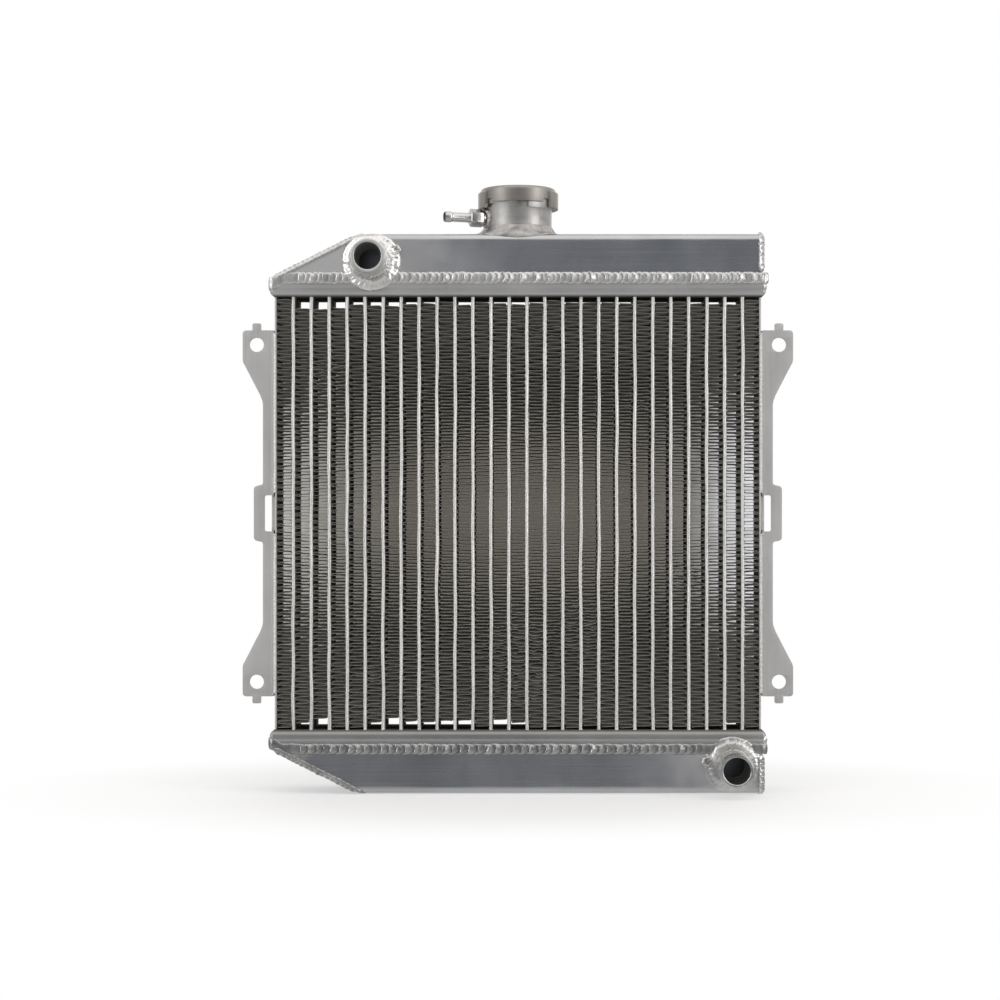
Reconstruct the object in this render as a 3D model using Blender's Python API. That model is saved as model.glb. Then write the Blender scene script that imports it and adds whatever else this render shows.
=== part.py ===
"""All-aluminium down-flow car radiator with its pressure cap, as separate pieces.

Frame: +Z up, +X to the right seen from the hose side, -Y towards the hose side.
Origin: middle of the bottom tank's resting face, in the mid-plane of the core.
Dimensions are in millimetres; the scene is in metres.
"""
import math

import bmesh
import bpy
from mathutils import Matrix, Vector

MM = 0.001

# ---------------------------------------------------------------- driving dimensions (mm)
GAP = 0.3                  # clearance kept between neighbouring solids
OVERCUT = 5.0              # how far most cutting tools run past the metal
HEIGHT = 435.0             # underside of the bottom tank to the roof of the top tank
MID_Z = HEIGHT / 2

# core
TUBES = 26
TUBE_THICK = 2.5
TUBE_DEPTH = 50.0
TUBE_NOSE = 1.0            # depth of the pointed part at each edge of a tube
TUBE_WALL = 0.4
CHANNEL_FLAT_INSET = 1.3   # channel's flat and nose, in from the tube's edge
CHANNEL_NOSE_INSET = 0.6
TUBE_IN_HEADER = 4.2       # how far a tube reaches past the header's core side
CHANNEL_CUT = 8.0          # the same for the tool that hollows it
FIN_HIGH = 11.5            # free height of one fin strip between two tubes
PITCH = TUBE_THICK + FIN_HIGH
FIN_DEPTH = 48.0
FIN_LEGS = 24              # coarse corrugation with the real strip's mass
FIN_SHEET = 0.35
FIN_END_GAP = 8.0          # bare tube left between a fin strip and the header
CORE_HALF = ((TUBES + 1) * FIN_HIGH + TUBES * TUBE_THICK) / 2
SIDE_THICK = 2.0

# header trays
HEADER_HALF = 193.5
HEADER_DEPTH = 60.0
HEADER_FACE = 49.0         # core side of the header, from the tank's outer face
HEADER_WALL = 2.0
HEADER_ROUND = 3.6
SEAM = 34.6                # height of the tank shell, from its outer face to the seam

# tanks
TANK_DEPTH = HEADER_DEPTH
TANK_WALL = 2.0
TANK_ROUND = 6.0
TANK_RIGHT = 190.0
TANK_END_INSET = 0.2       # right end plate, in from the shell's edge
LEFT_PLUG_X = -100.0       # inner end of the block the left end plate is cut from
CHAMFER_X = 122.0          # the left end slopes from x = -CHAMFER_X
CHAMFER_SLOPE = 0.5        # drop per mm run
CHAMFER_REACH = 90.0       # run covered by the slope tools
SLOPE_TOOL_HALF = 50.0     # half their depth in Y
FILLER_HOLE_R = 17.0

# hose pipes
PIPE_R = 12.7
PIPE_BORE = 10.3
PIPE_TIP = 72.0            # distance of the mouth from the mid-plane
PIPE_BEAD = 13.6
PIPE_SPIGOT = 11.3         # the turned-down end that sits in the tank's hole
PIPE_FACE = TANK_DEPTH / 2 + GAP
PIPE_ROOT = TANK_DEPTH / 2 - TANK_WALL - 1.0
PIPE_EDGE = 21.9           # height of a pipe's axis from its tank's outer face
INLET = (-113.8, HEIGHT - PIPE_EDGE)      # pipe axes in XZ
OUTLET = (166.8, PIPE_EDGE)

# mounting brackets
BRACKET_THICK = 2.0
BRACKET_FRONT = 27.0       # front face of the flange, in front of the mid-plane
BRACKET_LEG = 22.0
BRACKET_ROOT_X = CORE_HALF + SIDE_THICK + GAP
BRACKET_HOLE_X = 203.0
BRACKET_HOLE_Z = 131.0     # above and below the core's middle
BRACKET_HOLE_R = 5.5
EAR_X = 214.0              # outer edge of the wide ends
NARROW_X = 198.2
TAB_X = 205.3
BRACKET_END_Z = 142.3
PIP_HIGH = 5.4
PIP_HALF = 3.4
SLOT_X = 196.8
SLOT_Z = 14.0
SLOT_OVERCUT = 2.0

# filler neck
NECK_R = 26.5
NECK_FLANGE_R = 28.2
THROAT_R = 22.2
NECK_SPIGOT_R = 16.6
NECK_SPIGOT_LOW = HEIGHT - 2.6
RIM_Z = 465.5
SEAT_Z = RIM_Z - 21.6      # the pressure valve closes here
SEAT_R = 15.5
CAM_LOW = RIM_Z - 7.0      # underside of the cam where the cap locks
CAM_RISE = 2.5             # what the cap climbs over a quarter turn
STOP_DROP = 2.6            # the stop at the end of the cam hangs this far below CAM_LOW
TAB_HALF = 14.0            # degrees
STOP_AWAY = 5.0            # degrees between a locked tab and the stop
NOTCH_HALF = 17.0          # degrees
NOTCH_TOOL_R = 36.0
BARB_ANGLE = math.radians(200.0)
BARB_Z = 448.9
BARB_ROOT_R = 4.0

# cap
CAP_TOP = RIM_Z + 7.5
SKIRT_R = 29.7
SKIRT_IN = 28.6
CAP_EAR_R = 31.6
CAP_EAR_HALF = 35.0        # degrees
TAB_IN = 26.95             # inner radius of the tabs that hook under the cam
TAB_CLEAR = 0.35           # tabs below the cam
RELIEF_START = CAP_EAR_HALF + 1.0
RELIEF_HALF = 46.0         # the skirt is slit between here and the ear
RELIEF_LOW = RIM_Z - 2.4
SKIRT_LOW = RIM_Z - 5.0
CAP_EAR_LOW = RIM_Z - 8.9
LIFT = 3.0                 # how far the pressure valve opens
BELL_LOW = SEAT_Z + LIFT + 4.4 - RIM_Z    # relative to the rim
CAP_ORIGIN = (0, 0, RIM_Z)

# weld beads
BEAD_HIGH = 8.4            # along the face
BEAD_PROUD = 1.7
PIPE_WELD_R = 22.6
NECK_WELD_R = 33.2


# ---------------------------------------------------------------- scene and materials
for old in list(bpy.data.objects):
    bpy.data.objects.remove(old, do_unlink=True)


def material(name, colour, roughness, metallic=1.0):
    mat = bpy.data.materials.new(name)
    mat.use_nodes = True
    shader = next(n for n in mat.node_tree.nodes if n.type == "BSDF_PRINCIPLED")
    shader.inputs["Base Color"].default_value = (*colour, 1.0)
    shader.inputs["Roughness"].default_value = roughness
    shader.inputs["Metallic"].default_value = metallic
    mat.diffuse_color = (*colour, 1.0)
    return mat


TANK_ALU = material("tank_aluminium", colour=(0.62, 0.63, 0.64), roughness=0.28)
CORE_ALU = material("core_aluminium", colour=(0.66, 0.66, 0.64), roughness=0.38)
FIN_ALU = material("fin_aluminium", colour=(0.34, 0.34, 0.31), roughness=0.45)
BRACKET_ALU = material("bracket_aluminium", colour=(0.70, 0.69, 0.68), roughness=0.5)
NECK_ALU = material("neck_aluminium", colour=(0.68, 0.67, 0.65), roughness=0.25)
CAP_STEEL = material("cap_steel", colour=(0.55, 0.52, 0.48), roughness=0.3)
SPRING_STEEL = material("spring_steel", colour=(0.45, 0.45, 0.46), roughness=0.35)
RUBBER = material("rubber", colour=(0.02, 0.02, 0.02), roughness=0.8, metallic=0.0)
BRASS = material("brass", colour=(0.72, 0.53, 0.24), roughness=0.3)


def add_empty(name, parent=None, location=(0, 0, 0)):
    obj = bpy.data.objects.new(name, None)
    bpy.context.scene.collection.objects.link(obj)
    obj.parent = parent
    obj.location = Vector(location) * MM
    return obj


ROOT = add_empty("radiator")
CAP_AXIS = add_empty("cap_axis", ROOT, CAP_ORIGIN)


# ---------------------------------------------------------------- helpers
def link(name, bm, mat=None, smooth=False, origin=(0, 0, 0)):
    """Turns a bmesh drawn in mm into an object whose origin is at origin (mm).

    With a material it is a piece of the radiator; without one, a hidden cutting tool."""
    bmesh.ops.remove_doubles(bm, verts=bm.verts, dist=1e-4)
    bmesh.ops.recalc_face_normals(bm, faces=bm.faces)
    if bm.calc_volume(signed=True) < 0:
        bmesh.ops.reverse_faces(bm, faces=bm.faces)
    shift = Matrix.Translation(-Vector(origin))
    bmesh.ops.transform(bm, matrix=Matrix.Scale(MM, 4) @ shift, verts=bm.verts)
    mesh = bpy.data.meshes.new(name)
    bm.to_mesh(mesh)
    bm.free()
    obj = bpy.data.objects.new(name, mesh)
    bpy.context.scene.collection.objects.link(obj)
    obj.location = Vector(origin) * MM
    if mat:
        mesh.materials.append(mat)
        obj.parent = ROOT
    else:
        obj.hide_render = True
        obj.display_type = "WIRE"
    if smooth:
        mesh.shade_smooth()
        mesh.set_sharp_from_angle(angle=math.radians(35))
    return obj


def boolean(obj, tool, operation="DIFFERENCE"):
    modifier = obj.modifiers.new(operation.lower(), "BOOLEAN")
    modifier.operation = operation
    modifier.solver = "EXACT"
    modifier.object = tool


# A placing function turns outline coordinates u, v and a height w into a 3-D point.
def along_x(u, v, w):      # outline in YZ
    return (w, u, v)


def along_y(u, v, w):      # outline in XZ
    return (u, w, v)


def along_z(u, v, w):      # outline in XY
    return (u, v, w)


def along_barb(u, v, w):   # u across, v up, w outwards along the barb
    c, s = math.cos(BARB_ANGLE), math.sin(BARB_ANGLE)
    return (w * c - u * s, w * s + u * c, BARB_Z + v)


def add_prism(bm, outline, low, high, place):
    """Extrudes a 2-D outline from low to high."""
    face = bm.faces.new([bm.verts.new(place(u, v, low)) for u, v in outline])
    made = bmesh.ops.extrude_face_region(bm, geom=[face])
    moved = [g for g in made["geom"] if isinstance(g, bmesh.types.BMVert)]
    shift = Vector(place(0, 0, high)) - Vector(place(0, 0, low))
    bmesh.ops.translate(bm, verts=moved, vec=shift)


def prisms(name, outlines, low, high, place, mat=None):
    """One object made of several prisms of the same length."""
    bm = bmesh.new()
    for outline in outlines:
        add_prism(bm, outline, low, high, place)
    return link(name, bm, mat)


def prism(name, outline, low, high, place, mat=None):
    return prisms(name, [outline], low, high, place, mat)


def rectangle(u_ends, v_ends):
    u0, u1 = sorted(u_ends)
    v0, v1 = sorted(v_ends)
    return [(u0, v0), (u1, v0), (u1, v1), (u0, v1)]


def circle(radius, steps, centre=(0, 0), turn=0.0):
    """Regular outline, turned by a fraction of one step."""
    angles = [2 * math.pi * (i + turn) / steps for i in range(steps)]
    return [(centre[0] + radius * math.cos(a), centre[1] + radius * math.sin(a)) for a in angles]


def skin_rings(bm, rings):
    """Joins closed rings of vertices into a closed band, the last to the first."""
    for ring, following in zip(rings, rings[1:] + rings[:1]):
        for k in range(len(ring)):
            j = (k + 1) % len(ring)
            bm.faces.new((ring[k], following[k], following[j], ring[j]))


def revolve(name, section_at, angles, mat, place=along_z, origin=(0, 0, 0), axis_at=(0, 0)):
    """A solid of revolution whose section may change with the angle.

    section_at(angle) returns a closed loop of (radius, height); points on the axis are merged.
    axis_at is the axis position in the u, v of place."""
    bm = bmesh.new()
    rings = []
    for angle in angles:
        c, s = math.cos(math.radians(angle)), math.sin(math.radians(angle))
        rings.append([
            bm.verts.new(place(axis_at[0] + radius * c, axis_at[1] + radius * s, height))
            for radius, height in section_at(angle)
        ])
    skin_rings(bm, rings)
    bmesh.ops.remove_doubles(bm, verts=bm.verts, dist=1e-4)
    collapsed = [f for f in bm.faces if f.calc_area() < 1e-9]
    bmesh.ops.delete(bm, geom=collapsed, context="FACES")
    return link(name, bm, mat, True, origin)


def turned(name, section, steps, mat, **where):
    """A plain solid of revolution with the same section all round."""
    angles = [360.0 * i / steps for i in range(steps)]
    return revolve(name, lambda _: section, angles, mat, **where)


def both_halves(angles):
    """The same angles in both half turns."""
    return [start + a for start in (0.0, 180.0) for a in angles]


def half_turn(angle):
    """Angle folded into -90..90: neck and cap repeat every half turn."""
    return (angle + 90.0) % 180.0 - 90.0


def flip(z):
    """The same height measured from the top: the two tanks mirror each other."""
    return HEIGHT - z


def arch(half_depth, round_r, roof, low, segments=4):
    """Outline in YZ with a flat bottom at low and two rounded corners at the roof."""
    right = []
    for k in range(segments + 1):
        a = math.radians(90 * k / segments)
        right.append((
            half_depth - round_r + round_r * math.sin(a),
            roof - round_r + round_r * math.cos(a),
        ))
    left = [(-y, z) for y, z in reversed(right)]
    return [(-half_depth, low)] + left + right + [(half_depth, low)]


# ---------------------------------------------------------------- core
def tube_outlines(half_thick, half_flat, nose):
    """Pointed flat outlines in XY, one for each tube of the core."""
    outlines = []
    for i in range(TUBES):
        x = -CORE_HALF + FIN_HIGH + TUBE_THICK / 2 + i * PITCH
        outlines.append([
            (x + half_thick, -half_flat), (x + half_thick, half_flat), (x, nose),
            (x - half_thick, half_flat), (x - half_thick, -half_flat), (x, -nose),
        ])
    return outlines


def build_core_bundle():
    """Two header trays with the tubes brazed into them, as one solid."""
    half = TUBE_DEPTH / 2
    tubes = prisms(
        "tube_solids",
        tube_outlines(TUBE_THICK / 2, half - TUBE_NOSE, half),
        HEADER_FACE - TUBE_IN_HEADER, flip(HEADER_FACE) + TUBE_IN_HEADER, along_z,
    )
    channels = prisms(
        "tube_channels",
        tube_outlines(
            TUBE_THICK / 2 - TUBE_WALL, half - CHANNEL_FLAT_INSET, half - CHANNEL_NOSE_INSET
        ),
        HEADER_FACE - CHANNEL_CUT, flip(HEADER_FACE) + CHANNEL_CUT, along_z,
    )

    # the bottom tray opens downwards and is rounded on the core side
    bottom = arch(HEADER_DEPTH / 2, HEADER_ROUND, HEADER_FACE, SEAM + GAP, segments=3)
    top = [(y, flip(z)) for y, z in bottom]
    bundle = prisms(
        "core_tubes_and_headers", [bottom, top], -HEADER_HALF, HEADER_HALF, along_x, CORE_ALU
    )
    inside = HEADER_DEPTH / 2 - HEADER_WALL
    low, high = SEAM - OVERCUT, HEADER_FACE - HEADER_WALL
    hollows = prisms(
        "tray_hollows",
        [rectangle((-inside, inside), ends) for ends in ((low, high), (flip(high), flip(low)))],
        -HEADER_HALF + HEADER_WALL, HEADER_HALF - HEADER_WALL, along_x,
    )
    boolean(bundle, hollows)
    boolean(bundle, tubes, "UNION")
    boolean(bundle, channels)


def build_fin_strips():
    """Zigzag strips between the tubes and outside the two outermost ones."""
    low = HEADER_FACE + FIN_END_GAP
    high = flip(HEADER_FACE) - FIN_END_GAP
    step = (high - low) / FIN_LEGS
    # half the sheet, measured across a leg's slope
    slant = FIN_SHEET / 2 * math.hypot(FIN_HIGH, step) / step
    swing = FIN_HIGH / 2 - GAP - slant
    for i in range(TUBES + 1):
        centre = -CORE_HALF + FIN_HIGH / 2 + i * PITCH
        zigzag = [
            (centre + (swing if k % 2 == 0 else -swing), low + k * step)
            for k in range(FIN_LEGS + 1)
        ]
        outline = [(x + slant, z) for x, z in zigzag]
        outline += [(x - slant, z) for x, z in reversed(zigzag)]
        name = f"fin_strip_{i + 1:02d}"
        prism(name, outline, -FIN_DEPTH / 2, FIN_DEPTH / 2, along_y, FIN_ALU)


# ---------------------------------------------------------------- side plates and brackets
def build_side_plate(side, sign):
    outline = rectangle(
        (sign * CORE_HALF, sign * (CORE_HALF + SIDE_THICK)), (-TUBE_DEPTH / 2, TUBE_DEPTH / 2)
    )
    prism(
        "side_plate_" + side, outline,
        HEADER_FACE + GAP, flip(HEADER_FACE) - GAP, along_z, CORE_ALU,
    )


# Upper half of the right flange: x, height above the core's middle.
HALF_FLANGE = [
    (TAB_X, 0.0),
    (TAB_X, 20.0),
    (TAB_X - 1.5, 21.5),
    (NARROW_X, 22.5),
    (NARROW_X, 85.5),
    (NARROW_X + 2.2, 92.0),
    (EAR_X - 0.8, 116.5),
    (EAR_X, 119.0),
    (EAR_X, BRACKET_END_Z - 2.0),
    (EAR_X - 2.0, BRACKET_END_Z),
    (BRACKET_HOLE_X + PIP_HALF, BRACKET_END_Z),
    (BRACKET_HOLE_X + PIP_HALF, BRACKET_END_Z + PIP_HIGH),
    (BRACKET_HOLE_X - PIP_HALF, BRACKET_END_Z + PIP_HIGH),
    (BRACKET_HOLE_X - PIP_HALF, BRACKET_END_Z),
    (BRACKET_ROOT_X, BRACKET_END_Z),
]


def build_bracket(side, sign):
    """Flange across the front with a leg running back beside the side plate."""
    front, back = -BRACKET_FRONT, -BRACKET_FRONT + BRACKET_THICK
    whole = HALF_FLANGE + [(x, -z) for x, z in reversed(HALF_FLANGE[1:])]
    outline = [(sign * x, MID_Z + z) for x, z in whole]
    flange = prism("bracket_" + side, outline, front, back, along_y, BRACKET_ALU)

    leg_outline = rectangle(
        (sign * BRACKET_ROOT_X, sign * (BRACKET_ROOT_X + BRACKET_THICK)),
        (front, front + BRACKET_LEG),
    )
    leg = prism(
        "bracket_leg_" + side, leg_outline,
        MID_Z - BRACKET_END_Z, MID_Z + BRACKET_END_Z, along_z,
    )
    boolean(flange, leg, "UNION")

    openings = [
        circle(BRACKET_HOLE_R, 20, (sign * BRACKET_HOLE_X, MID_Z + z))
        for z in (-BRACKET_HOLE_Z, BRACKET_HOLE_Z)
    ]
    openings.append(rectangle(
        (sign * (BRACKET_ROOT_X - SLOT_OVERCUT), sign * SLOT_X),
        (MID_Z - SLOT_Z, MID_Z + SLOT_Z),
    ))
    holes = prisms("bracket_holes_" + side, openings, front - OVERCUT, back + OVERCUT, along_y)
    boolean(flange, holes)


# ---------------------------------------------------------------- tanks
def slope_point(run, drop=0.0):
    """Point in XZ on the top tank's slope, run mm left of its start and drop mm under it."""
    return (-CHAMFER_X - run, HEIGHT - CHAMFER_SLOPE * run - drop)


def build_tank(name, pipe_spot, is_top):
    """Shell and two end plates, drawn as the top tank and flipped for the bottom one."""
    def placed(outline):
        return outline if is_top else [(u, flip(z)) for u, z in outline]

    def slope_tool(kind, outline):
        tool_name = name + "_tank_slope_" + kind
        return prism(tool_name, placed(outline), -SLOPE_TOOL_HALF, SLOPE_TOOL_HALF, along_y)

    low = flip(SEAM)
    outer = arch(TANK_DEPTH / 2, TANK_ROUND, HEIGHT, low)
    inner = arch(TANK_DEPTH / 2 - TANK_WALL, TANK_ROUND - TANK_WALL, HEIGHT - TANK_WALL, low)
    shell = prism(
        name + "_tank_shell", placed(outer + inner[::-1]),
        -HEADER_HALF, TANK_RIGHT, along_x, TANK_ALU,
    )
    margin = 20.0
    wedge = [
        slope_point(-margin),
        slope_point(CHAMFER_REACH),
        (-CHAMFER_X - CHAMFER_REACH - margin, HEIGHT + CHAMFER_SLOPE * margin),
    ]
    boolean(shell, slope_tool("cut", wedge))

    # both end plates are cut from a plug of the shell's inside
    inset = TANK_WALL + GAP
    plug = placed(arch(TANK_DEPTH / 2 - inset, TANK_ROUND - inset, HEIGHT - inset, low))
    right = TANK_RIGHT - TANK_END_INSET
    prism(name + "_tank_end_right", plug, right - TANK_WALL, right, along_x, TANK_ALU)
    end_left = prism(
        name + "_tank_end_left", plug, -HEADER_HALF - OVERCUT, LEFT_PLUG_X, along_x, TANK_ALU
    )
    drop = TANK_WALL * math.hypot(1, CHAMFER_SLOPE)
    slab = [
        slope_point(-10.0),
        slope_point(CHAMFER_REACH),
        slope_point(CHAMFER_REACH, drop),
        slope_point(-10.0, drop),
    ]
    boolean(end_left, slope_tool("slab", slab), "INTERSECT")

    holes = bmesh.new()
    add_prism(holes, circle(PIPE_SPIGOT + GAP, 28, pipe_spot), -40, -20, along_y)
    if is_top:
        add_prism(holes, circle(FILLER_HOLE_R, 32), HEIGHT - 10, HEIGHT + 10, along_z)
    boolean(shell, link(name + "_tank_holes", holes))


# Section of the seam weld: how far proud of the face, height from the seam.
BEAD_PROFILE = [
    (0.0, -BEAD_HIGH / 2), (BEAD_PROUD * 0.75, -BEAD_HIGH * 0.30), (BEAD_PROUD, 0.0),
    (BEAD_PROUD * 0.75, BEAD_HIGH * 0.30), (0.0, BEAD_HIGH / 2),
]


def build_seam_weld(name, seam_z, pipe_spot):
    """Bead round a tank where shell meets header tray, cut away round the pipe weld."""
    half_x = HEADER_HALF + GAP
    half_y = HEADER_DEPTH / 2 + GAP
    bm = bmesh.new()
    rings = [
        [
            bm.verts.new((sx * (half_x + proud), sy * (half_y + proud), seam_z + height))
            for proud, height in BEAD_PROFILE
        ]
        for sx, sy in ((-1, -1), (1, -1), (1, 1), (-1, 1))
    ]
    skin_rings(bm, rings)
    bead = link(name + "_seam_weld", bm, TANK_ALU)
    outline = circle(PIPE_WELD_R + GAP, 36, pipe_spot)
    boolean(bead, prism(name + "_seam_weld_room", outline, -50, -20, along_y))


# ---------------------------------------------------------------- hose pipes
# Sections are (radius, y); the mouth is at -PIPE_TIP.
PIPE_SECTION = [
    (PIPE_BORE, -PIPE_TIP), (PIPE_R - 0.5, -PIPE_TIP),
    (PIPE_R, -PIPE_TIP + 0.6), (PIPE_R, -PIPE_TIP + 2.5),
    (PIPE_BEAD, -PIPE_TIP + 3.8), (PIPE_BEAD, -PIPE_TIP + 5.4), (PIPE_R, -PIPE_TIP + 6.8),
    (PIPE_R, -PIPE_FACE), (PIPE_SPIGOT, -PIPE_FACE),
    (PIPE_SPIGOT, -PIPE_ROOT), (PIPE_BORE, -PIPE_ROOT),
]
WELD_IN = PIPE_R + GAP
PIPE_WELD_SECTION = [
    (WELD_IN, -PIPE_FACE), (PIPE_WELD_R, -PIPE_FACE),
    (PIPE_WELD_R - 0.6, -PIPE_FACE - 1.6), (PIPE_WELD_R - 3.6, -PIPE_FACE - 3.4),
    (WELD_IN + 2.6, -PIPE_FACE - 6.2), (WELD_IN + 0.5, -PIPE_FACE - 9.6),
    (WELD_IN, -PIPE_FACE - 9.6),
]


def build_pipe(name, spot):
    """Hose pipe and the weld round its root."""
    x, z = spot
    turned(
        name + "_pipe", PIPE_SECTION, 28, TANK_ALU,
        place=along_y, origin=(x, -PIPE_TIP, z), axis_at=spot,
    )
    turned(
        name + "_weld", PIPE_WELD_SECTION, 32, TANK_ALU,
        place=along_y, origin=(x, -PIPE_FACE, z), axis_at=spot,
    )


# ---------------------------------------------------------------- filler neck
NECK_ANGLES = both_halves([
    -90, -80, -70, -60, -50, -40, -30, -19.5, -18.5, -10,
    0, 10, 20, 30, 40, 50, 60, 70, 80,
])


def cam_height(folded):
    """Underside of the sloping cam at an angle folded into -90..90."""
    return CAM_LOW + CAM_RISE * folded / 90.0


def neck_section(angle):
    folded = half_turn(angle)
    at_stop = folded < -TAB_HALF - STOP_AWAY
    under = CAM_LOW - STOP_DROP if at_stop else cam_height(folded)
    return [
        (SEAT_R, NECK_SPIGOT_LOW), (NECK_SPIGOT_R, NECK_SPIGOT_LOW),
        (NECK_SPIGOT_R, HEIGHT + GAP), (NECK_R, HEIGHT + GAP), (NECK_R, under),
        (NECK_FLANGE_R, under), (NECK_FLANGE_R, RIM_Z), (THROAT_R, RIM_Z),
        (THROAT_R, SEAT_Z), (SEAT_R, SEAT_Z),
    ]


def notch_outline(centre):
    """Sector in XY that opens the cam flange round one angle."""
    inner = NECK_R + 0.05
    corners = (
        (inner, centre - NOTCH_HALF), (NOTCH_TOOL_R, centre - NOTCH_HALF),
        (NOTCH_TOOL_R, centre + NOTCH_HALF), (inner, centre + NOTCH_HALF),
        (NECK_R, centre),
    )
    return [
        (r * math.cos(math.radians(a)), r * math.sin(math.radians(a))) for r, a in corners
    ]


def build_neck():
    """Neck with its cam flange, two notches and the port for the barb."""
    neck = revolve("filler_neck", neck_section, NECK_ANGLES, NECK_ALU, origin=(0, 0, HEIGHT))
    outlines = [notch_outline(centre) for centre in (90.0, 270.0)]
    boolean(neck, prisms("neck_notches", outlines, CAM_LOW - 6, RIM_Z + 3, along_z))
    port = circle(BARB_ROOT_R + GAP, 16)
    boolean(neck, prism("neck_port", port, THROAT_R - 0.6, NECK_R + 6, along_barb))


# Radius, distance from the neck's axis.
BARB_SECTION = [
    (0.0, 22.9), (BARB_ROOT_R, 22.9), (BARB_ROOT_R, 33.0), (3.4, 34.0), (3.4, 55.2),
    (4.4, 56.4), (4.4, 58.6), (3.6, 60.6), (3.0, 61.0), (0.0, 61.0),
]


def build_barb():
    """Overflow barb with a hexagon near its root, bored through."""
    barb = turned("overflow_barb", BARB_SECTION, 18, NECK_ALU, place=along_barb)
    hexagon = prism("barb_hexagon", circle(7.2, 6, turn=0.5), 29.6, 40.4, along_barb)
    bore = prism("barb_bore", circle(2.2, 12), 20, 64, along_barb)
    boolean(barb, hexagon, "UNION")
    boolean(barb, bore)


# Radius, height.
NECK_WELD_SECTION = [
    (NECK_R + GAP, HEIGHT + GAP), (NECK_WELD_R, HEIGHT + GAP), (NECK_WELD_R - 0.9, HEIGHT + 1.3),
    (29.6, HEIGHT + 3.4), (27.9, HEIGHT + 5.8), (NECK_R + GAP, HEIGHT + 7.4),
]


# ---------------------------------------------------------------- pressure cap
def hang_on_cap(obj):
    """Parents a piece to the cap's axis without moving it."""
    obj.parent = CAP_AXIS
    obj.matrix_parent_inverse = Matrix.Translation((0, 0, -RIM_Z * MM))


COVER_ANGLES = both_halves([
    -90, -78, -67, -57, -47.5, -46, -36.5, -35, -24, -14.6, -14, -7,
    0, 7, 14, 14.6, 24, 35, 36.5, 46, 47.5, 57, 67, 78,
])


def cover_section(angle):
    """Dished top with a skirt: ears with inward tabs, and a slit on each side of an ear."""
    folded = half_turn(angle)
    inner = TAB_IN if abs(folded) <= TAB_HALF else SKIRT_IN
    if abs(folded) <= CAP_EAR_HALF:
        outer, low, shelf = CAP_EAR_R, CAP_EAR_LOW, cam_height(folded) - TAB_CLEAR
    else:
        slit = RELIEF_START < abs(folded) <= RELIEF_HALF
        outer, low = SKIRT_R, RELIEF_LOW if slit else SKIRT_LOW
        shelf = low + 0.4
    return [
        (2.6, RIM_Z + 3.5), (12.0, RIM_Z + 3.5), (14.4, CAP_TOP), (27.4, CAP_TOP),
        (29.0, CAP_TOP - 0.8), (outer, CAP_TOP - 2.8), (outer, low), (inner, low),
        (inner, shelf), (SKIRT_IN, shelf + 0.05), (SKIRT_IN, CAP_TOP - 1.5),
        (15.4, CAP_TOP - 1.5), (13.0, RIM_Z + 2.3), (2.6, RIM_Z + 2.3),
    ]


# Name, material, steps round, base height, section of (radius, height above the base).
CAP_ROUNDS = [
    ("cap_bell", CAP_STEEL, 24, RIM_Z, [
        (2.6, 1.3), (12.6, 1.3), (14.8, -0.9), (14.8, BELL_LOW),
        (14.0, BELL_LOW), (14.0, -1.1), (12.2, 0.4), (2.6, 0.4),
    ]),
    ("cap_rivet", CAP_STEEL, 16, RIM_Z, [
        (0, -1.7), (4.0, -1.7), (4.0, 0.1), (2.3, 0.1), (2.3, 3.8),
        (5.2, 3.8), (4.6, 5.1), (2.2, 5.7), (0, 5.8),
    ]),
    ("cap_diaphragm", SPRING_STEEL, 32, RIM_Z, [(2.6, 1.6), (26.2, 1.6), (26.2, 2.0), (2.6, 2.0)]),
    ("cap_upper_gasket", RUBBER, 32, RIM_Z, [
        (20.4, 0.3), (26.2, 0.3), (26.2, 1.3), (20.4, 1.3),
    ]),
    ("pressure_valve_plate", CAP_STEEL, 28, SEAT_Z, [
        (2.4, 2.4), (17.2, 2.4), (17.2, 3.4), (2.4, 3.4),
    ]),
    ("pressure_valve_gasket", RUBBER, 28, SEAT_Z, [
        (5.4, 0.3), (18.2, 0.3), (18.2, 2.1), (5.4, 2.1),
    ]),
    ("vacuum_valve", BRASS, 16, SEAT_Z, [
        (0, -1.5), (6.8, -1.5), (6.8, 0), (1.3, 0), (1.3, 7.1),
        (4.4, 7.1), (4.4, 8.1), (0, 8.1),
    ]),
]


def build_spring(name, radius, wire, low, high, turns, steps, sides):
    """Spring on the cap's axis, its wire's centre line between low and high."""
    end = 0.8              # laps at each end that lie nearly flat
    flat = wire * 1.03     # rise per lap there
    count = int(turns * steps)
    bm = bmesh.new()
    rings = []
    for i in range(count + 1):
        lap = i / count * turns
        if lap < end:
            z = low + flat * lap
        elif lap > turns - end:
            z = high - flat * (turns - lap)
        else:
            share = (lap - end) / (turns - 2 * end)
            z = low + flat * end + share * (high - low - 2 * flat * end)
        around = 2 * math.pi * lap
        ring = []
        for k in range(sides):
            b = 2 * math.pi * (k + 0.5) / sides
            r = radius + wire / 2 * math.cos(b)
            point = (r * math.cos(around), r * math.sin(around), z + wire / 2 * math.sin(b))
            ring.append(bm.verts.new(point))
        rings.append(ring)
    for one, two in zip(rings, rings[1:]):
        for k in range(sides):
            j = (k + 1) % sides
            bm.faces.new((one[k], one[j], two[j], two[k]))
    bm.faces.new(list(reversed(rings[0])))
    bm.faces.new(rings[-1])
    hang_on_cap(link(name, bm, SPRING_STEEL, True, CAP_ORIGIN))


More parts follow.
